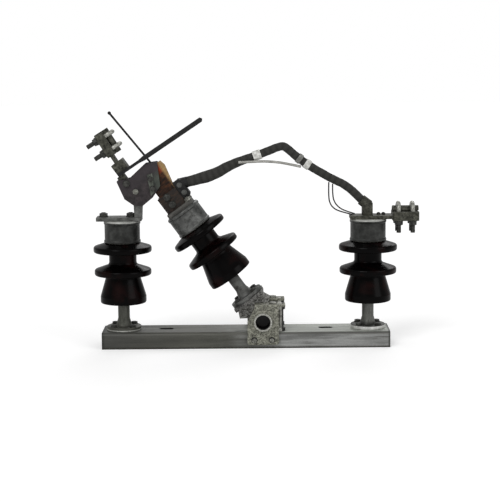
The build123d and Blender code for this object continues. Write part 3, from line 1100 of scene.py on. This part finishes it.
def hex_bolt_tree() -> GrowingTree:
    """A washer, a hexagon with a chamfered face, and the thread's end standing out of it.

    Returns:
        The tree, whose copies stand on their points and rise along the points' axes.
    """
    tree = GrowingTree("hex_bolts", BOLT_SIZES)
    across, height, washer, plate, thread, proud = (tree.size(name) for name in BOLT_SIZES)
    seat = tree.scaled(plate, 0.0)
    face_low = tree.scaled(height, 1.0, plate)
    face = tree.add(
        "GeometryNodeMeshCone",
        Vertices=32,
        Radius_Bottom=tree.scaled(across, FACE_RIM),
        Radius_Top=tree.scaled(across, FACE_FLAT),
        Depth=tree.scaled(height, FACE_HEIGHT),
    )
    forms = [
        tree.drum(washer, seat, plate, 32),
        tree.drum(across, plate, height, 6),
        tree.raised(face.outputs["Mesh"], face_low),
        tree.drum(thread, face_low, proud, 20),
    ]
    bolt = tree.add("GeometryNodeJoinGeometry", Geometry=forms)
    tree.end(tree.planted(bolt.outputs[0], math.tau))
    return tree


def ring_tree() -> GrowingTree:
    """A thin disc with a bevelled rim: one turn of a screw thread.

    Returns:
        The tree, whose copies are centred on their points.
    """
    tree = GrowingTree("thread_turns", ("Radius", "Height"))
    pair = []
    for top, bottom, low in ((THREAD_VALLEY, 1.0, 0.25), (1.0, THREAD_VALLEY, -0.75)):
        cone = tree.add(
            "GeometryNodeMeshCone",
            Vertices=18,
            Radius_Top=tree.scaled(tree.size("Radius"), top),
            Radius_Bottom=tree.scaled(tree.size("Radius"), bottom),
            Depth=tree.scaled(tree.size("Height"), 0.5),
        )
        pair.append(tree.raised(cone.outputs["Mesh"], tree.scaled(tree.size("Height"), low)))
    turn = tree.add("GeometryNodeJoinGeometry", Geometry=pair)
    tree.end(tree.planted(turn.outputs[0], 0.0))
    return tree


class Hardware:
    """Bolts, nuts and threads, collected for each body and size and then grown."""

    TURN_HEIGHT: ClassVar[float] = 1.6

    @dataclass(frozen=True)
    class Size:
        """The sizes of one kind of bolt end, in millimetres."""

        name: str
        across: float
        height: float
        washer: float
        plate: float
        thread: float
        proud: float
        finish: MetalFinish = BOLT_ZINC

    def __init__(self) -> None:
        """Starts with no bolts."""
        self.bolts: dict[tuple[Hardware.Size, Body], list[tuple[Vector, Vector]]] = {}
        self.threads: dict[tuple[float, Body, MetalFinish], list[tuple[Vector, Vector]]] = {}

    def bolt(self, size: "Hardware.Size", body: Body, place: Vector, axis: Sequence[float]) -> None:
        """Notes a bolt end that stands on a place, in metres, and rises along an axis."""
        self.bolts.setdefault((size, body), []).append((place, Vector(axis)))

    def thread(
        self,
        radius: float,
        body: Body,
        start: Vector,
        end: Vector,
        finish: MetalFinish = BOLT_DARK,
        pitch: float = 1.75,
    ) -> None:
        """Notes the turns of a thread between two places.

        Args:
            radius: Outer radius of the thread.
            body: The body that it rides on.
            start: Where the thread begins, in metres.
            end: Where it ends.
            finish: What it is made of.
            pitch: From one turn to the next.
        """
        run = end - start
        count = max(2, round(run.length / (pitch * MM)))
        turns = self.threads.setdefault((radius, body, finish), [])
        turns += [(start + run * (turn + 0.5) / count, run.normalized()) for turn in range(count)]

    def grow(self) -> None:
        """Makes every noted bolt and thread."""
        bolt_tree = hex_bolt_tree()
        for (size, body), spots in self.bolts.items():
            name = f"{body.value}_{size.name}"
            sizes = {part: getattr(size, part.lower()) for part in BOLT_SIZES}
            mesh = bolt_tree.grow(name, spots, size.finish, sizes)
            add_piece(name, mesh, size.finish, body)
        thread_tree = ring_tree()
        for (radius, body, finish), spots in self.threads.items():
            name = f"{body.value}_thread_{round(radius * 10)}"
            mesh = thread_tree.grow(name, spots, finish, {"Radius": radius, "Height": self.TURN_HEIGHT})
            add_piece(name, mesh, finish, body)


M10_DARK = Hardware.Size("m10_dark_heads", 9.6, 6.6, 10.5, 1.8, 4.9, 2.0, BOLT_DARK)
M10_LOW = Hardware.Size("m10_low_heads", 9.0, 3.0, 10.0, 1.2, 3.0, 0.2)
M8_HEAD = Hardware.Size("m8_heads", 7.4, 5.3, 8.4, 1.4, 3.9, 2.0)
M8_DARK = Hardware.Size("m8_dark_heads", 7.4, 5.3, 8.4, 1.4, 3.9, 2.0, BOLT_DARK)
# Dark washers set a little higher behind the bracket's bright heads: painted shadow above each head
M6_SHADOW_WASHER = Hardware.Size("m6_painted_shadow_washers", 6.0, 0.5, 7.2, 1.2, 3.0, 0.2, BOLT_DARK)
M6_BRIGHT = Hardware.Size("m6_bright_heads", 5.6, 3.6, 5.0, 0.5, 2.8, 0.3)
M6_HEAD = Hardware.Size("m6_heads", 5.8, 4.2, 6.4, 1.0, 2.9, 1.6)
M8_LOW = Hardware.Size("m8_low_nuts", 7.4, 3.6, 8.0, 1.2, 3.6, 0.8, BOLT_DARK)
M8_FLAT = Hardware.Size("m8_flat_heads", 7.0, 2.2, 7.6, 0.6, 2.8, 0.2)
M6_DARK = Hardware.Size("m6_dark_heads", 5.8, 4.2, 6.2, 1.0, 2.9, 1.6, BOLT_DARK)
M6_GREY = Hardware.Size("m6_grey_heads", 5.8, 4.2, 6.2, 1.0, 2.9, 1.6, POST_ZINC)
M5_DARK = Hardware.Size("m5_dark_heads", 4.5, 3.5, 5.0, 0.8, 2.4, 1.4, BOLT_DARK)
U_BOLT_NUT = Hardware.Size("u_bolt_nuts", 9.6, 8.0, 10.0, 1.8, 4.8, 0.5, BOLT_DARK)


# Sub-assemblies


@dataclass
class Insulator:
    """A porcelain post: pin, bell, two sheds, cap and the cement between them."""

    side: str
    place: Matrix
    body: Body
    height: float = 254.0
    pin_seat: float = 104.3
    pin_hole: float = 13.8
    boss: tuple[float, float] = (21.0, 27.0)
    boss_low: float = 82.2
    roof: float = 88.0
    roof_radius: float = 36.0
    bell: float = 52.8
    bell_inside: float = 44.2
    bell_low: float = 63.2
    bell_rim: float = 15.8
    neck: float = 37.8
    core: float = 31.5
    lower_shed: float = 65.3
    upper_shed: float = 66.8
    shed_low: float = 127.2
    shed_pitch: float = 53.0
    shed_rim: float = 13.8
    shed_droop: tuple[float, float] = (2.4, 2.6)
    shed_rise: tuple[float, float] = (12.0, 9.6)
    head: float = 36.2
    head_high: float = 241.6
    cap: float = 40.5
    cap_height: float = 50.0
    cement_inside: float = 33.5
    cement_inset: float = 1.2
    cement_span: tuple[float, float] = (-0.8, 1.6)
    bolt_circle: float = 31.0
    flange: float = 9.0
    channel_wall: float = 5.0
    saddle_thick: float = 8.0

    def build(self, hardware: Hardware) -> None:
        """Makes the porcelain and the cement, and dresses pin and cap.

        Args:
            hardware: Where the flange's bolts are noted.
        """
        low, high = self.shed_low, self.shed_low + self.shed_pitch
        corners = [
            Corner(0, self.pin_seat),
            Corner(self.pin_hole, self.pin_seat),
            Corner(self.pin_hole, self.boss_low),
            Corner(self.boss[0], self.boss_low, 2),
            Corner(self.boss[1], self.roof, 4),
            Corner(self.roof_radius, self.roof, 5),
            Corner(self.bell_inside, self.bell_low, 3),
            Corner(self.bell, self.bell_low, 4),
            Corner(self.bell, self.bell_low + self.bell_rim, 6),
            Corner(self.neck, low + self.shed_droop[0], 7),
            Corner(self.lower_shed, low, 5),
            Corner(self.lower_shed, low + self.shed_rim, 6),
            Corner(self.core, low + self.shed_rim + self.shed_rise[0], 9),
            Corner(self.core, high + self.shed_droop[1], 7),
            Corner(self.upper_shed, high, 5),
            Corner(self.upper_shed, high + self.shed_rim, 6),
            Corner(self.head, high + self.shed_rim + self.shed_rise[1], 5),
            Corner(self.head, self.head_high),
            Corner(0, self.head_high),
        ]
        name = f"{self.side}_glazed_porcelain"
        mesh = shade(turned_mesh(name, rounded(corners), self.place), 50)
        add_piece(name, mesh, PORCELAIN, self.body, (f"{self.side}_porcelain",))
        self.dress()
        self.bolt_down(hardware)

    def dress(self) -> None:
        """Gives pin, cap and cement their finishes."""
        zinc = {"left": LEFT_PIN_ZINC, "right": RIGHT_PIN_ZINC}.get(self.side, POST_ZINC)
        soften(f"{self.side}_pin", zinc, self.body)
        iron = CAP_ZINC if self.body is Body.BASE else POST_CAP_ZINC
        soften(f"{self.side}_cap", iron, self.body, 0.5)
        foot = self.height - self.cap_height
        outside = self.cap - self.cement_inset
        low, high = (foot + rise for rise in self.cement_span)
        ring = [
            Corner(self.cement_inside, low),
            Corner(outside, low, 0.6),
            Corner(outside, high),
            Corner(self.cement_inside, high),
        ]
        mesh = turned_mesh(f"{self.side}_cement", rounded(ring, 3), self.place, 64)
        add_piece(f"{self.side}_cement", shade(mesh), CEMENT, self.body)

    def bolt_down(self, hardware: Hardware) -> None:
        """Notes a nut on the flange and a head below it at each of the four holes.

        Args:
            hardware: Where they are noted.
        """
        turn = self.place.to_3x3()
        on_channel = self.body is Body.BASE
        under, head = (self.channel_wall, M8_HEAD) if on_channel else (self.saddle_thick, M8_FLAT)
        for quarter in range(4):
            angle = math.radians(45 + 90 * quarter)
            spot = Vector((self.bolt_circle * math.cos(angle), self.bolt_circle * math.sin(angle), 0))
            top = self.place @ ((spot + Vector((0, 0, self.flange))) * MM)
            bottom = self.place @ ((spot - Vector((0, 0, under))) * MM)
            hardware.bolt(M8_LOW, self.body, top, turn @ Vector((0, 0, 1)))
            hardware.bolt(head, self.body, bottom, turn @ Vector((0, 0, -1)))


@dataclass
class BaseFrame:
    """Channel, bearing brackets and stop studs."""

    bracket_side: float = 58.0
    bracket_bolt_x: tuple[float, float] = (19.0, 59.0)
    bracket_bolt_z: float = 20.0
    flange_top: float = 102.0
    flange_bolt_x: float = 62.0
    flange_bolt_y: float = 42.0
    stud_x: float = 80.0
    stud_y: float = 36.0
    stud_radius: float = 6.0
    stud_low: float = 46.5
    stud_high: float = 88.5
    stud_crest: float = 0.35
    bracket_inside: float = 45.0
    # How far each dark washer of painted shadow stands above its bolt head
    shadow_rise: float = 0.8
    seat_thick: float = 1.3
    slot_x: float = 184.0
    slot_half: float = 17.0
    slot_radius: float = 9.0
    slot_steps: int = 48
    web: tuple[float, float] = (33.2, 37.7)
    lining_insets: tuple[float, float] = (0.1, 0.5)

    def slot_shade(self, name: str, x: float) -> None:
        """Lines a bolt slot's wall with a thin black coat, as painted shade.

        Args:
            name: The piece's name.
            x: Middle of the slot.
        """
        shape = bmesh.new()
        rows: list[list[bmesh.types.BMVert]] = []
        reach = self.slot_half - self.slot_radius
        outer, inner = self.lining_insets
        low, high = self.web
        for inset, height in ((outer, low), (outer, high), (inner, high), (inner, low)):
            radius = self.slot_radius - inset
            row = []
            for step in range(self.slot_steps):
                angle = math.tau * (step + 0.5) / self.slot_steps
                middle = x + math.copysign(reach, math.cos(angle))
                spot = (middle + radius * math.cos(angle), radius * math.sin(angle), height)
                row.append(shape.verts.new(Vector(spot) * MM))
            rows.append(row)
        for row, following in zip(rows, rows[1:] + rows[:1]):
            bridge(shape, row, following)
        bmesh.ops.recalc_face_normals(shape, faces=shape.faces)
        mesh = as_mesh(shape, name)
        add_piece(name, shade(mesh), SHADE_LINING, Body.BASE)

    def build(self, hardware: Hardware) -> None:
        """Dresses the channel and the bearings, and notes their bolts.

        Args:
            hardware: Where the bolts and threads are noted.
        """
        soften("base_channel", CHANNEL_ZINC, Body.BASE, 1.0)
        self.slot_shade("slot_grime_left", -self.slot_x)
        self.slot_shade("slot_grime_right", self.slot_x)
        for side, way in (("front", -1), ("back", 1)):
            soften(f"bearing_bracket_{side}", BRACKET_CASTING, Body.BASE, 1.2)
            for x in self.bracket_bolt_x:
                outside = Vector((x, way * self.bracket_side, self.bracket_bolt_z)) * MM
                inside = Vector((x, way * self.bracket_inside, self.bracket_bolt_z)) * MM
                # Each dark washer sits raised behind its bright head, so that it shows as painted shadow
                # above the head
                raised = outside + Vector((0, 0, self.shadow_rise)) * MM
                seated = outside + Vector((0, way * self.seat_thick, 0)) * MM
                hardware.bolt(M6_SHADOW_WASHER, Body.BASE, raised, (0, way, 0))
                hardware.bolt(M6_BRIGHT, Body.BASE, seated, (0, way, 0))
                hardware.bolt(M8_DARK, Body.BASE, inside, (0, -way, 0))
            lug = Vector((self.flange_bolt_x, way * self.flange_bolt_y, self.flange_top)) * MM
            hardware.bolt(M10_LOW, Body.BASE, lug, (0, 0, 1))
            low, high = (
                Vector((self.stud_x, way * self.stud_y, height)) * MM
                for height in (self.stud_low, self.stud_high)
            )
            hardware.thread(self.stud_radius + self.stud_crest, Body.BASE, low, high, STUD_ZINC)
        soften("stop_studs", STUD_ZINC, Body.BASE, 0.4)


@dataclass
class Rocker:
    """Shaft, arms and saddle that carry the middle post."""

    shaft_half: float = 66.0
    socket_depth: float = 40.0
    socket_radius: float = 17.0
    shade_gap: float = 0.1
    shade_wall: float = 0.5
    shade_floor: float = 0.6
    mouth_inset: float = 2.0

    def build(self) -> None:
        """Dresses the shaft, the arms and the saddle, and lines the shaft's sockets with painted shade."""
        soften("rocker_shaft", SHAFT_ZINC, Body.POST, 0.8)
        soften("rocker_saddle", SADDLE_STEEL, Body.POST, 0.8)
        for side in ("front", "back"):
            soften(f"rocker_arm_{side}", ARM_STEEL, Body.POST, 0.8)
        for side, way in (("front", 1), ("back", -1)):
            self.shade_socket(side, way)

    def shade_socket(self, side: str, way: int) -> None:
        """Lines one socket with a black coat of painted shade, from its floor to just inside its mouth.

        Args:
            side: Name of the end.
            way: 1 for the end towards the viewer, -1 for the other.
        """
        floor = self.shaft_half - self.socket_depth + self.shade_gap
        mouth = self.shaft_half - self.mouth_inset
        outer = self.socket_radius - self.shade_gap
        inner = outer - self.shade_wall
        lining = [
            Corner(0, floor),
            Corner(outer, floor),
            Corner(outer, mouth),
            Corner(inner, mouth),
            Corner(inner, floor + self.shade_floor, 0.4),
            Corner(0, floor + self.shade_floor),
        ]
        along = Matrix.Translation(ROCKER.pivot) @ Matrix.Rotation(math.radians(90 * way), 4, "X")
        mesh = turned_mesh(f"socket_grease_{side}", rounded(lining, 3), along, 64)
        add_piece(f"socket_grease_{side}", shade(mesh), SHADE_LINING, Body.POST)


@dataclass
class MovingContact:
    """Foot, side plates, copper leaves, lead block and thin horn on the middle post."""

    foot_top: float = 322.0
    foot_bolt: tuple[float, float] = (27.0, 20.0)
    plate_side: float = 17.8
    plate_bolts: tuple[tuple[float, float], ...] = ((-8, 336), (-8, 356))
    block_side: float = 15.0
    block_bolts: tuple[tuple[float, float], ...] = ((31, 362), (30, 342))

    def build(self, hardware: Hardware) -> None:
        """Dresses the moving contact and notes its bolts.

        Args:
            hardware: Where the bolts are noted.
        """
        soften("moving_contact_foot", FOOT_STEEL, Body.POST, 0.8)
        soften("contact_leaves", LEAF_COPPER, Body.POST, 0.4)
        soften("lead_block", HORN_STEEL, Body.POST, 0.8)
        paint("moving_horn", HORN_STEEL)
        up = ROCKER.turned(Vector((0, 0, 1)))
        across, aside = self.foot_bolt
        for way in (-1, 1):
            hardware.bolt(M8_HEAD, Body.POST, ROCKER.at(across, way * aside, self.foot_top), up)
            for x, z in self.plate_bolts:
                hardware.bolt(M8_DARK, Body.POST, ROCKER.at(x, way * self.plate_side, z), (0, way, 0))
            for x, z in self.block_bolts:
                hardware.bolt(M6_GREY, Body.POST, ROCKER.at(x, way * self.block_side, z), (0, way, 0))


@dataclass
class FixedContact:
    """Jaw, its bracket, the left terminal and the thick horn."""

    cheek_side: float = 19.0
    cheek_bolts: tuple[tuple[Hardware.Size, float, float], ...] = ((M6_HEAD, -58, 409), (M8_DARK, -64, 436))
    strap_side: float = 22.0
    strap_bolts: tuple[tuple[Hardware.Size, float, float], ...] = ((M6_DARK, -22, 392), (M6_DARK, -13, 412))
    foot_bolt_x: tuple[float, float] = (-324.0, -262.0)
    foot_top: float = 300.0

    def build(self, hardware: Hardware) -> None:
        """Dresses the fixed contact and notes its bolts.

        Args:
            hardware: Where the bolts are noted.
        """
        soften("contact_bracket", POST_ZINC, Body.BASE, 1.0)
        soften("contact_cheek_front", CHEEK_STEEL, Body.BASE, 0.8)
        soften("contact_cheek_back", CHEEK_STEEL, Body.BASE, 0.8)
        soften("jaw_straps", STRAP_ZINC, Body.BASE, 0.5)
        soften("left_terminal", CLAMP_CASTING, Body.BASE, 0.8)
        soften("fixed_horn", HORN_STEEL, Body.BASE, 0.8)
        for way in (-1, 1):
            for side, bolts in ((self.cheek_side, self.cheek_bolts), (self.strap_side, self.strap_bolts)):
                for size, across, up in bolts:
                    hardware.bolt(size, Body.BASE, ROCKER.at(across, way * side, up), (0, way, 0))
        for x in self.foot_bolt_x:
            hardware.bolt(M10_DARK, Body.BASE, Vector((x, 0, self.foot_top)) * MM, (0, 0, 1))


@dataclass
class Terminal:
    """A conductor clamp: body, keeper, two U-bolts with nuts and threads."""

    side: str
    place: Matrix
    tail: float = 32.0
    leg_x: tuple[float, float] = (14.0, 46.0)
    leg_y: float = 17.0
    leg_radius: float = 5.0
    leg_crest: float = 0.3
    body_low: float = -4.0
    thread_high: float = -15.0
    thread_end: float = 0.5
    tongue: float = 8.0
    tongue_bolts: tuple[float, float] = (-31.0, -20.0)

    def build(self, hardware: Hardware) -> None:
        """Dresses the clamp and notes its nuts and threads.

        Args:
            hardware: Where the nuts and threads are noted.
        """
        if self.side == "right":
            soften("right_terminal", CLAMP_CASTING, Body.BASE, 0.8)
            for x in self.tongue_bolts:
                hardware.bolt(M5_DARK, Body.BASE, self.place @ (Vector((x, 0, self.tongue)) * MM), (0, 0, 1))
        soften(f"{self.side}_keeper", CLAMP_CASTING, Body.BASE, 0.6)
        paint(f"{self.side}_u_bolts", U_BOLT_ZINC if self.side == "right" else LEFT_U_BOLT_ZINC)
        down = self.place.to_3x3() @ Vector((0, 0, -1))
        for x in self.leg_x:
            for y in (-self.leg_y, self.leg_y):
                seat = self.place @ (Vector((x, y, self.body_low)) * MM)
                start = self.place @ (Vector((x, y, self.thread_high)) * MM)
                end = self.place @ (Vector((x, y, self.thread_end - self.tail)) * MM)
                hardware.bolt(U_BOLT_NUT, Body.BASE, seat, down)
                hardware.thread(self.leg_radius + self.leg_crest, Body.BASE, start, end)


# Leads


LEAD_ROUTE = (
    (-130, 0, 379.3),
    (-98, 0, 387),
    (-64, 0, 398),
    (-32, 0, 417),
    (6, 0, 431),
    (48, 0, 445),
    (79, 0, 458),
    (92, 0, 459),
    (114, 0, 438),
    (152, 0, 410),
    (198, 0, 384),
    (241, 0, 363),
    (266, 0, 335),
)
STRAND_ROUTE = (
    (-14, -13.4, 423.6),
    (14, -13.8, 424.5),
    (44, -12, 425.5),
    (76, -9, 423),
    (104, -6, 417.5),
    (128.5, -4, 411.6),
)
WIRE_FRONT_ROUTE = (
    (192, -3, 376),
    (191, -7, 346),
    (194, -9, 327),
    (205, -9, 314),
    (224, -8, 307),
    (246, -8, 301.5),
)
WIRE_BACK_ROUTE = (
    (201, 3, 371),
    (201, 7, 344),
    (206, 9, 327),
    (218, 9, 314),
    (234, 8, 307),
    (252, 8, 301.5),
)


@dataclass
class Lead:
    """A cord on one smooth line, with its own skin."""

    node: str
    route: Sequence[tuple[float, float, float]]
    radius: float
    finish: WoundFinish
    slot: str
    stiffness: str
    sides: int = 20
    line: list[Vector] = field(default_factory=list)

    def centreline(self) -> list[Vector]:
        """Reads the points of the route's smooth line.

        Returns:
            The points, in metres.
        """
        curve = bpy.data.curves.new(f"{self.node}_line", "CURVE")
        curve.dimensions = "3D"
        curve.resolution_u = 24
        spline = curve.splines.new("NURBS")
        spline.points.add(len(self.route) - 1)
        for point, spot in zip(spline.points, self.route):
            point.co = (spot[0] * MM, spot[1] * MM, spot[2] * MM, 1.0)
        spline.order_u = 3
        spline.use_endpoint_u = True
        helper = in_scene(f"{self.node}_line", curve)
        mesh = bpy.data.meshes.new_from_object(helper)
        points = [vertex.co.copy() for vertex in mesh.vertices]
        bpy.data.objects.remove(helper)
        bpy.data.meshes.remove(mesh)
        return points

    def length(self) -> float:
        """The line's length in metres."""
        return sum((end - start).length for start, end in zip(self.line, self.line[1:]))

    def thickness(self, share: float, angle: float, run: float) -> float:
        """Radius of the skin at a share of the length, an angle round it and a run along it, in metres."""
        return self.radius * MM

    def mesh(self) -> bpy.types.Mesh:
        """Sweeps the skin along the line, with a UV map of turns and metres.

        Returns:
            A closed mesh.
        """
        shape = bmesh.new()
        skin = shape.loops.layers.uv.new("skin")
        total = self.length()
        rings = []
        runs = []
        run = 0.0
        side_way = Vector((0, 1, 0))
        for index, spot in enumerate(self.line):
            ahead = self.line[min(index + 1, len(self.line) - 1)]
            behind = self.line[max(index - 1, 0)]
            if index:
                run += (spot - behind).length
            forward = (ahead - behind).normalized()
            side_way = (side_way - forward * side_way.dot(forward)).normalized()
            up_way = forward.cross(side_way)
            ring = []
            for side in range(self.sides):
                angle = math.tau * side / self.sides
                radius = self.thickness(run / total, angle, run)
                way = side_way * math.cos(angle) + up_way * math.sin(angle)
                ring.append(shape.verts.new(spot + way * radius))
            rings.append(ring)
            runs.append(run)
        for index, (ring, following) in enumerate(zip(rings, rings[1:])):
            for side in range(self.sides):
                beside = (side + 1) % self.sides
                face = shape.faces.new((ring[side], ring[beside], following[beside], following[side]))
                corners = ((side, index), (side + 1, index), (side + 1, index + 1), (side, index + 1))
                for loop, (turn, place) in zip(face.loops, corners):
                    loop[skin].uv = (turn / self.sides, runs[place])
        for ring in (rings[0], rings[-1]):
            shape.faces.new(ring)
        bmesh.ops.recalc_face_normals(shape, faces=shape.faces)
        return shade(as_mesh(shape, f"{self.node}_skin"), 60)

    def build(
        self,
        bends: Callable[[bpy.types.Object], None],
        far_end: str,
        pieces: Sequence[bpy.types.Object],
    ) -> None:
        """Args:
            bends: What is done to the skin once it is made.
            far_end: What is at the cord's far end; not used.
            pieces: Separate pieces on the cord; not used.
        """
        self.line = self.centreline()
        piece = add_piece(f"{self.node}_skin", self.mesh(), self.finish, None, (self.node,))
        bends(piece)
        LOG.info("%s: %.1f mm long", self.node, self.length() / MM)


@dataclass
class TapedLead(Lead):
    """The main lead: braids bundled under lapped tape, thick and lumpy towards its moving end."""

    lap: float = 11.0
    lap_step: float = 0.025
    bare: float = 0.94
    swell: float = 0.42
    swell_at: float = 0.1
    swell_share: float = 0.24
    lump: float = 0.06
    lumps_along: float = 60.0
    lumps_round: float = 0.8

    def thickness(self, share: float, angle: float, run: float) -> float:
        """Radius with the swelling, the laps of tape and the lumps under it."""
        turn = (run / (self.lap * MM) + angle / math.tau) % 1.0
        swelling = self.swell * max(0.0, 1 - abs(share - self.swell_at) / self.swell_share)
        round_x, round_y = (self.lumps_round * wave(angle) for wave in (math.cos, math.sin))
        lumps = self.lump * noise.noise(Vector((run * self.lumps_along, round_x, round_y)))
        return self.radius * MM * (self.bare + swelling + self.lap_step * turn + lumps)


@dataclass
class Leads:
    """The taped lead, the bare strand under its peak, two thin wires and the tie bands."""

    tie_places: tuple[tuple[float, float, str], ...] = (
        (19.5, 38.0, "white"),
        (121.0, 130.0, "grey"),
        (137.0, 150.0, "white"),
    )
    tie_thick: float = 1.6

    def build(self) -> None:
        """Makes the cords and the bands on them."""
        lead = TapedLead("flexible_lead", LEAD_ROUTE, 10, TAPE, "wrapped_braid", "medium", 28)
        lead.line = lead.centreline()
        ties = [self.tie(lead, *place) for place in self.tie_places]
        lead.build(self.bend, "object", ties)
        Lead("lead_strand", STRAND_ROUTE, 3, BRAID, "bare_braid", "limp").build(self.bend, "object", ())
        Lead("thin_wire_front", WIRE_FRONT_ROUTE, 1.6, WIRE, "wrapped_braid", "medium", 12).build(
            self.bend_wire, "object", ()
        )
        Lead("thin_wire_back", WIRE_BACK_ROUTE, 1.6, WIRE, "wrapped_braid", "medium", 12).build(
            self.bend_wire, "object", ()
        )

    def bend(self, piece: bpy.types.Object) -> None:
        """Bakes the placement of a piece of the lead into its mesh."""
        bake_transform(piece)

    def bend_wire(self, piece: bpy.types.Object) -> None:
        """Bakes the placement of a thin wire into its mesh."""
        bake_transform(piece)

    def tie(self, lead: Lead, start: float, end: float, colour: str) -> bpy.types.Object:
        """Makes one band round the lead.

        Args:
            lead: The lead that it holds.
            start: Where it begins, along X.
            end: Where it ends, along X.
            colour: White or grey.

        Returns:
            The band.
        """
        radius = lead.radius + self.tie_thick
        band = Lead(f"tie_{round(start)}", (), radius, TAPE, "wrapped_braid", "stiff", 32)
        band.line = [spot for spot in lead.line if start <= spot.x / MM <= end]
        finish = TIE_WHITE if colour == "white" else TIE_GREY
        piece = add_piece(f"tie_band_{round(start)}", band.mesh(), finish, None)
        self.bend(piece)
        return piece


# Studio


@dataclass(frozen=True)
class Lamp:
    """A soft distant lamp: where it stands, its width in degrees and its watts per square metre."""

    name: str
    towards: tuple[float, float, float]
    spread: float
    strength: float


@dataclass
class Studio:
    """Camera, light, floor and background."""

    target: tuple[float, float, float] = (10.8, 0.0, 218.0)
    distance: float = 3400.0
    pitch: float = 8.3
    roll: float = -0.5
    lens: float = 106.0
    paper: str = "#f4f4f4"
    paper_glow: float = 0.34
    floor_reach: float = 12.0
    sky: float = 0.45
    seen_sky: float = 1.0
    lamps: tuple[Lamp, ...] = (
        Lamp("key_light", (-1.2, -2.2, 2.35), 26.0, 0.86),
        Lamp("fill_light", (2.0, -1.6, 1.15), 34.0, 0.48),
        Lamp("back_light", (0.4, 2.0, 1.55), 36.0, 0.52),
    )

    def build(self) -> None:
        """Sets up the camera, the lamps, the floor and the world."""
        self.camera()
        self.floor()
        self.world()
        for lamp in self.lamps:
            self.light(lamp)
        bpy.context.scene.view_settings.view_transform = "Standard"

    def camera(self) -> None:
        """Stands the camera where the photograph was taken from."""
        data = bpy.data.cameras.new("camera")
        data.lens = self.lens
        data.sensor_width = 36.0
        data.clip_end = 50.0
        eye = in_scene("camera", data)
        slope = math.radians(self.pitch)
        target = Vector(self.target) * MM
        eye.location = target + Vector((0, -math.cos(slope), math.sin(slope))) * self.distance * MM
        aim = (target - eye.location).to_track_quat("-Z", "Y").to_matrix().to_4x4()
        spin = Matrix.Rotation(math.radians(self.roll), 4, "Z")
        eye.rotation_euler = (aim @ spin).to_euler()
        bpy.context.scene.camera = eye

    def light(self, lamp: Lamp) -> None:
        """Sets up a lamp, which lights switch and floor evenly.

        Args:
            lamp: What it is and where it stands.
        """
        data = bpy.data.lights.new(lamp.name, "SUN")
        data.angle = math.radians(lamp.spread)
        data.energy = lamp.strength
        stand = in_scene(lamp.name, data)
        stand.location = lamp.towards
        stand.rotation_euler = (-Vector(lamp.towards)).to_track_quat("-Z", "Y").to_euler()

    def floor(self) -> None:
        """Lays the pale floor that keeps the switch's shadow and reads white to the camera."""
        mesh = bpy.data.meshes.new("floor")
        ways = ((-1, -1), (1, -1), (1, 1), (-1, 1))
        corners = [(x * self.floor_reach, y * self.floor_reach, 0) for x, y in ways]
        mesh.from_pydata(corners, [], [(0, 1, 2, 3)])
        floor = in_scene("floor", mesh)
        finish = bpy.data.materials.new("matt_white_paper")
        finish.use_nodes = True
        tree = finish.node_tree
        tree.nodes.clear()
        rays = add_node(tree, "ShaderNodeLightPath")
        paper = add_node(tree, "ShaderNodeBsdfDiffuse", inputs={"Color": linear(self.paper)})
        seen = add_node(
            tree,
            "ShaderNodeMath",
            {"operation": "MULTIPLY"},
            {0: rays.outputs["Is Camera Ray"], 1: self.paper_glow},
        )
        glow = add_node(
            tree, "ShaderNodeEmission", inputs={"Color": (1, 1, 1, 1), "Strength": seen.outputs[0]}
        )
        both = add_node(tree, "ShaderNodeAddShader", inputs={0: paper.outputs[0], 1: glow.outputs[0]})
        add_node(tree, "ShaderNodeOutputMaterial", inputs={"Surface": both.outputs[0]})
        mesh.materials.append(finish)

    def world(self) -> None:
        """A plain world: soft light on the switch, and white to the camera."""
        world = bpy.data.worlds.new("studio")
        world.use_nodes = True
        bpy.context.scene.world = world
        tree = world.node_tree
        tree.nodes.clear()
        rays = add_node(tree, "ShaderNodeLightPath")
        strength = add_node(
            tree,
            "ShaderNodeMapRange",
            inputs={"Value": rays.outputs["Is Camera Ray"], "To Min": self.sky, "To Max": self.seen_sky},
        )
        light = add_node(
            tree,
            "ShaderNodeBackground",
            inputs={"Color": (1, 1, 1, 1), "Strength": strength.outputs["Result"]},
        )
        add_node(tree, "ShaderNodeOutputWorld", inputs={"Surface": light.outputs[0]})


# The right clamp's place in the row frame
RIGHT_CLAMP = (337, 0, 292)
# The left clamp's place, and the height of the saddle's top, in the middle post's own frame
LEFT_CLAMP = (-57, 0, 506)
SADDLE_TOP = 58


def left_clamp_place() -> Matrix:
    """Where the left conductor clamp's own frame stands, in metres."""
    lean = math.radians(LEFT_CLAMP_LEAN)
    along = Vector((-math.sin(lean), 0, math.cos(lean)))
    up = Vector((math.cos(lean), 0, math.sin(lean)))
    turn = Matrix((along, up.cross(along), up)).transposed().to_4x4()
    return Matrix.Translation(ROCKER.at(*LEFT_CLAMP)) @ turn


def main() -> None:
    """Builds and dresses the switch, piece by piece."""
    logging.basicConfig(level=logging.INFO, format="%(message)s")
    hardware = Hardware()
    Studio().build()
    Leads().build()
    channel_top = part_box("base_channel")[1][2]
    for side, node in (("left", "left_pin"), ("right", "right_pin")):
        pin_low, pin_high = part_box(node)
        foot = Vector(((pin_low[0] + pin_high[0]) / 2, 0, channel_top))
        Insulator(side, Matrix.Translation(foot), Body.BASE).build(hardware)
    saddle = ROCKER.matrix() @ Matrix.Translation((0, 0, SADDLE_TOP * MM))
    Insulator("post", saddle, Body.POST).build(hardware)
    BaseFrame().build(hardware)
    Rocker().build()
    MovingContact().build(hardware)
    FixedContact().build(hardware)
    Terminal("right", Matrix.Translation(Vector(RIGHT_CLAMP) * MM)).build(hardware)
    Terminal("left", left_clamp_place()).build(hardware)
    soften("lead_lug", CLAMP_CASTING, Body.BASE, 0.8)
    hardware.grow()


if __name__ == "__main__":
    main()
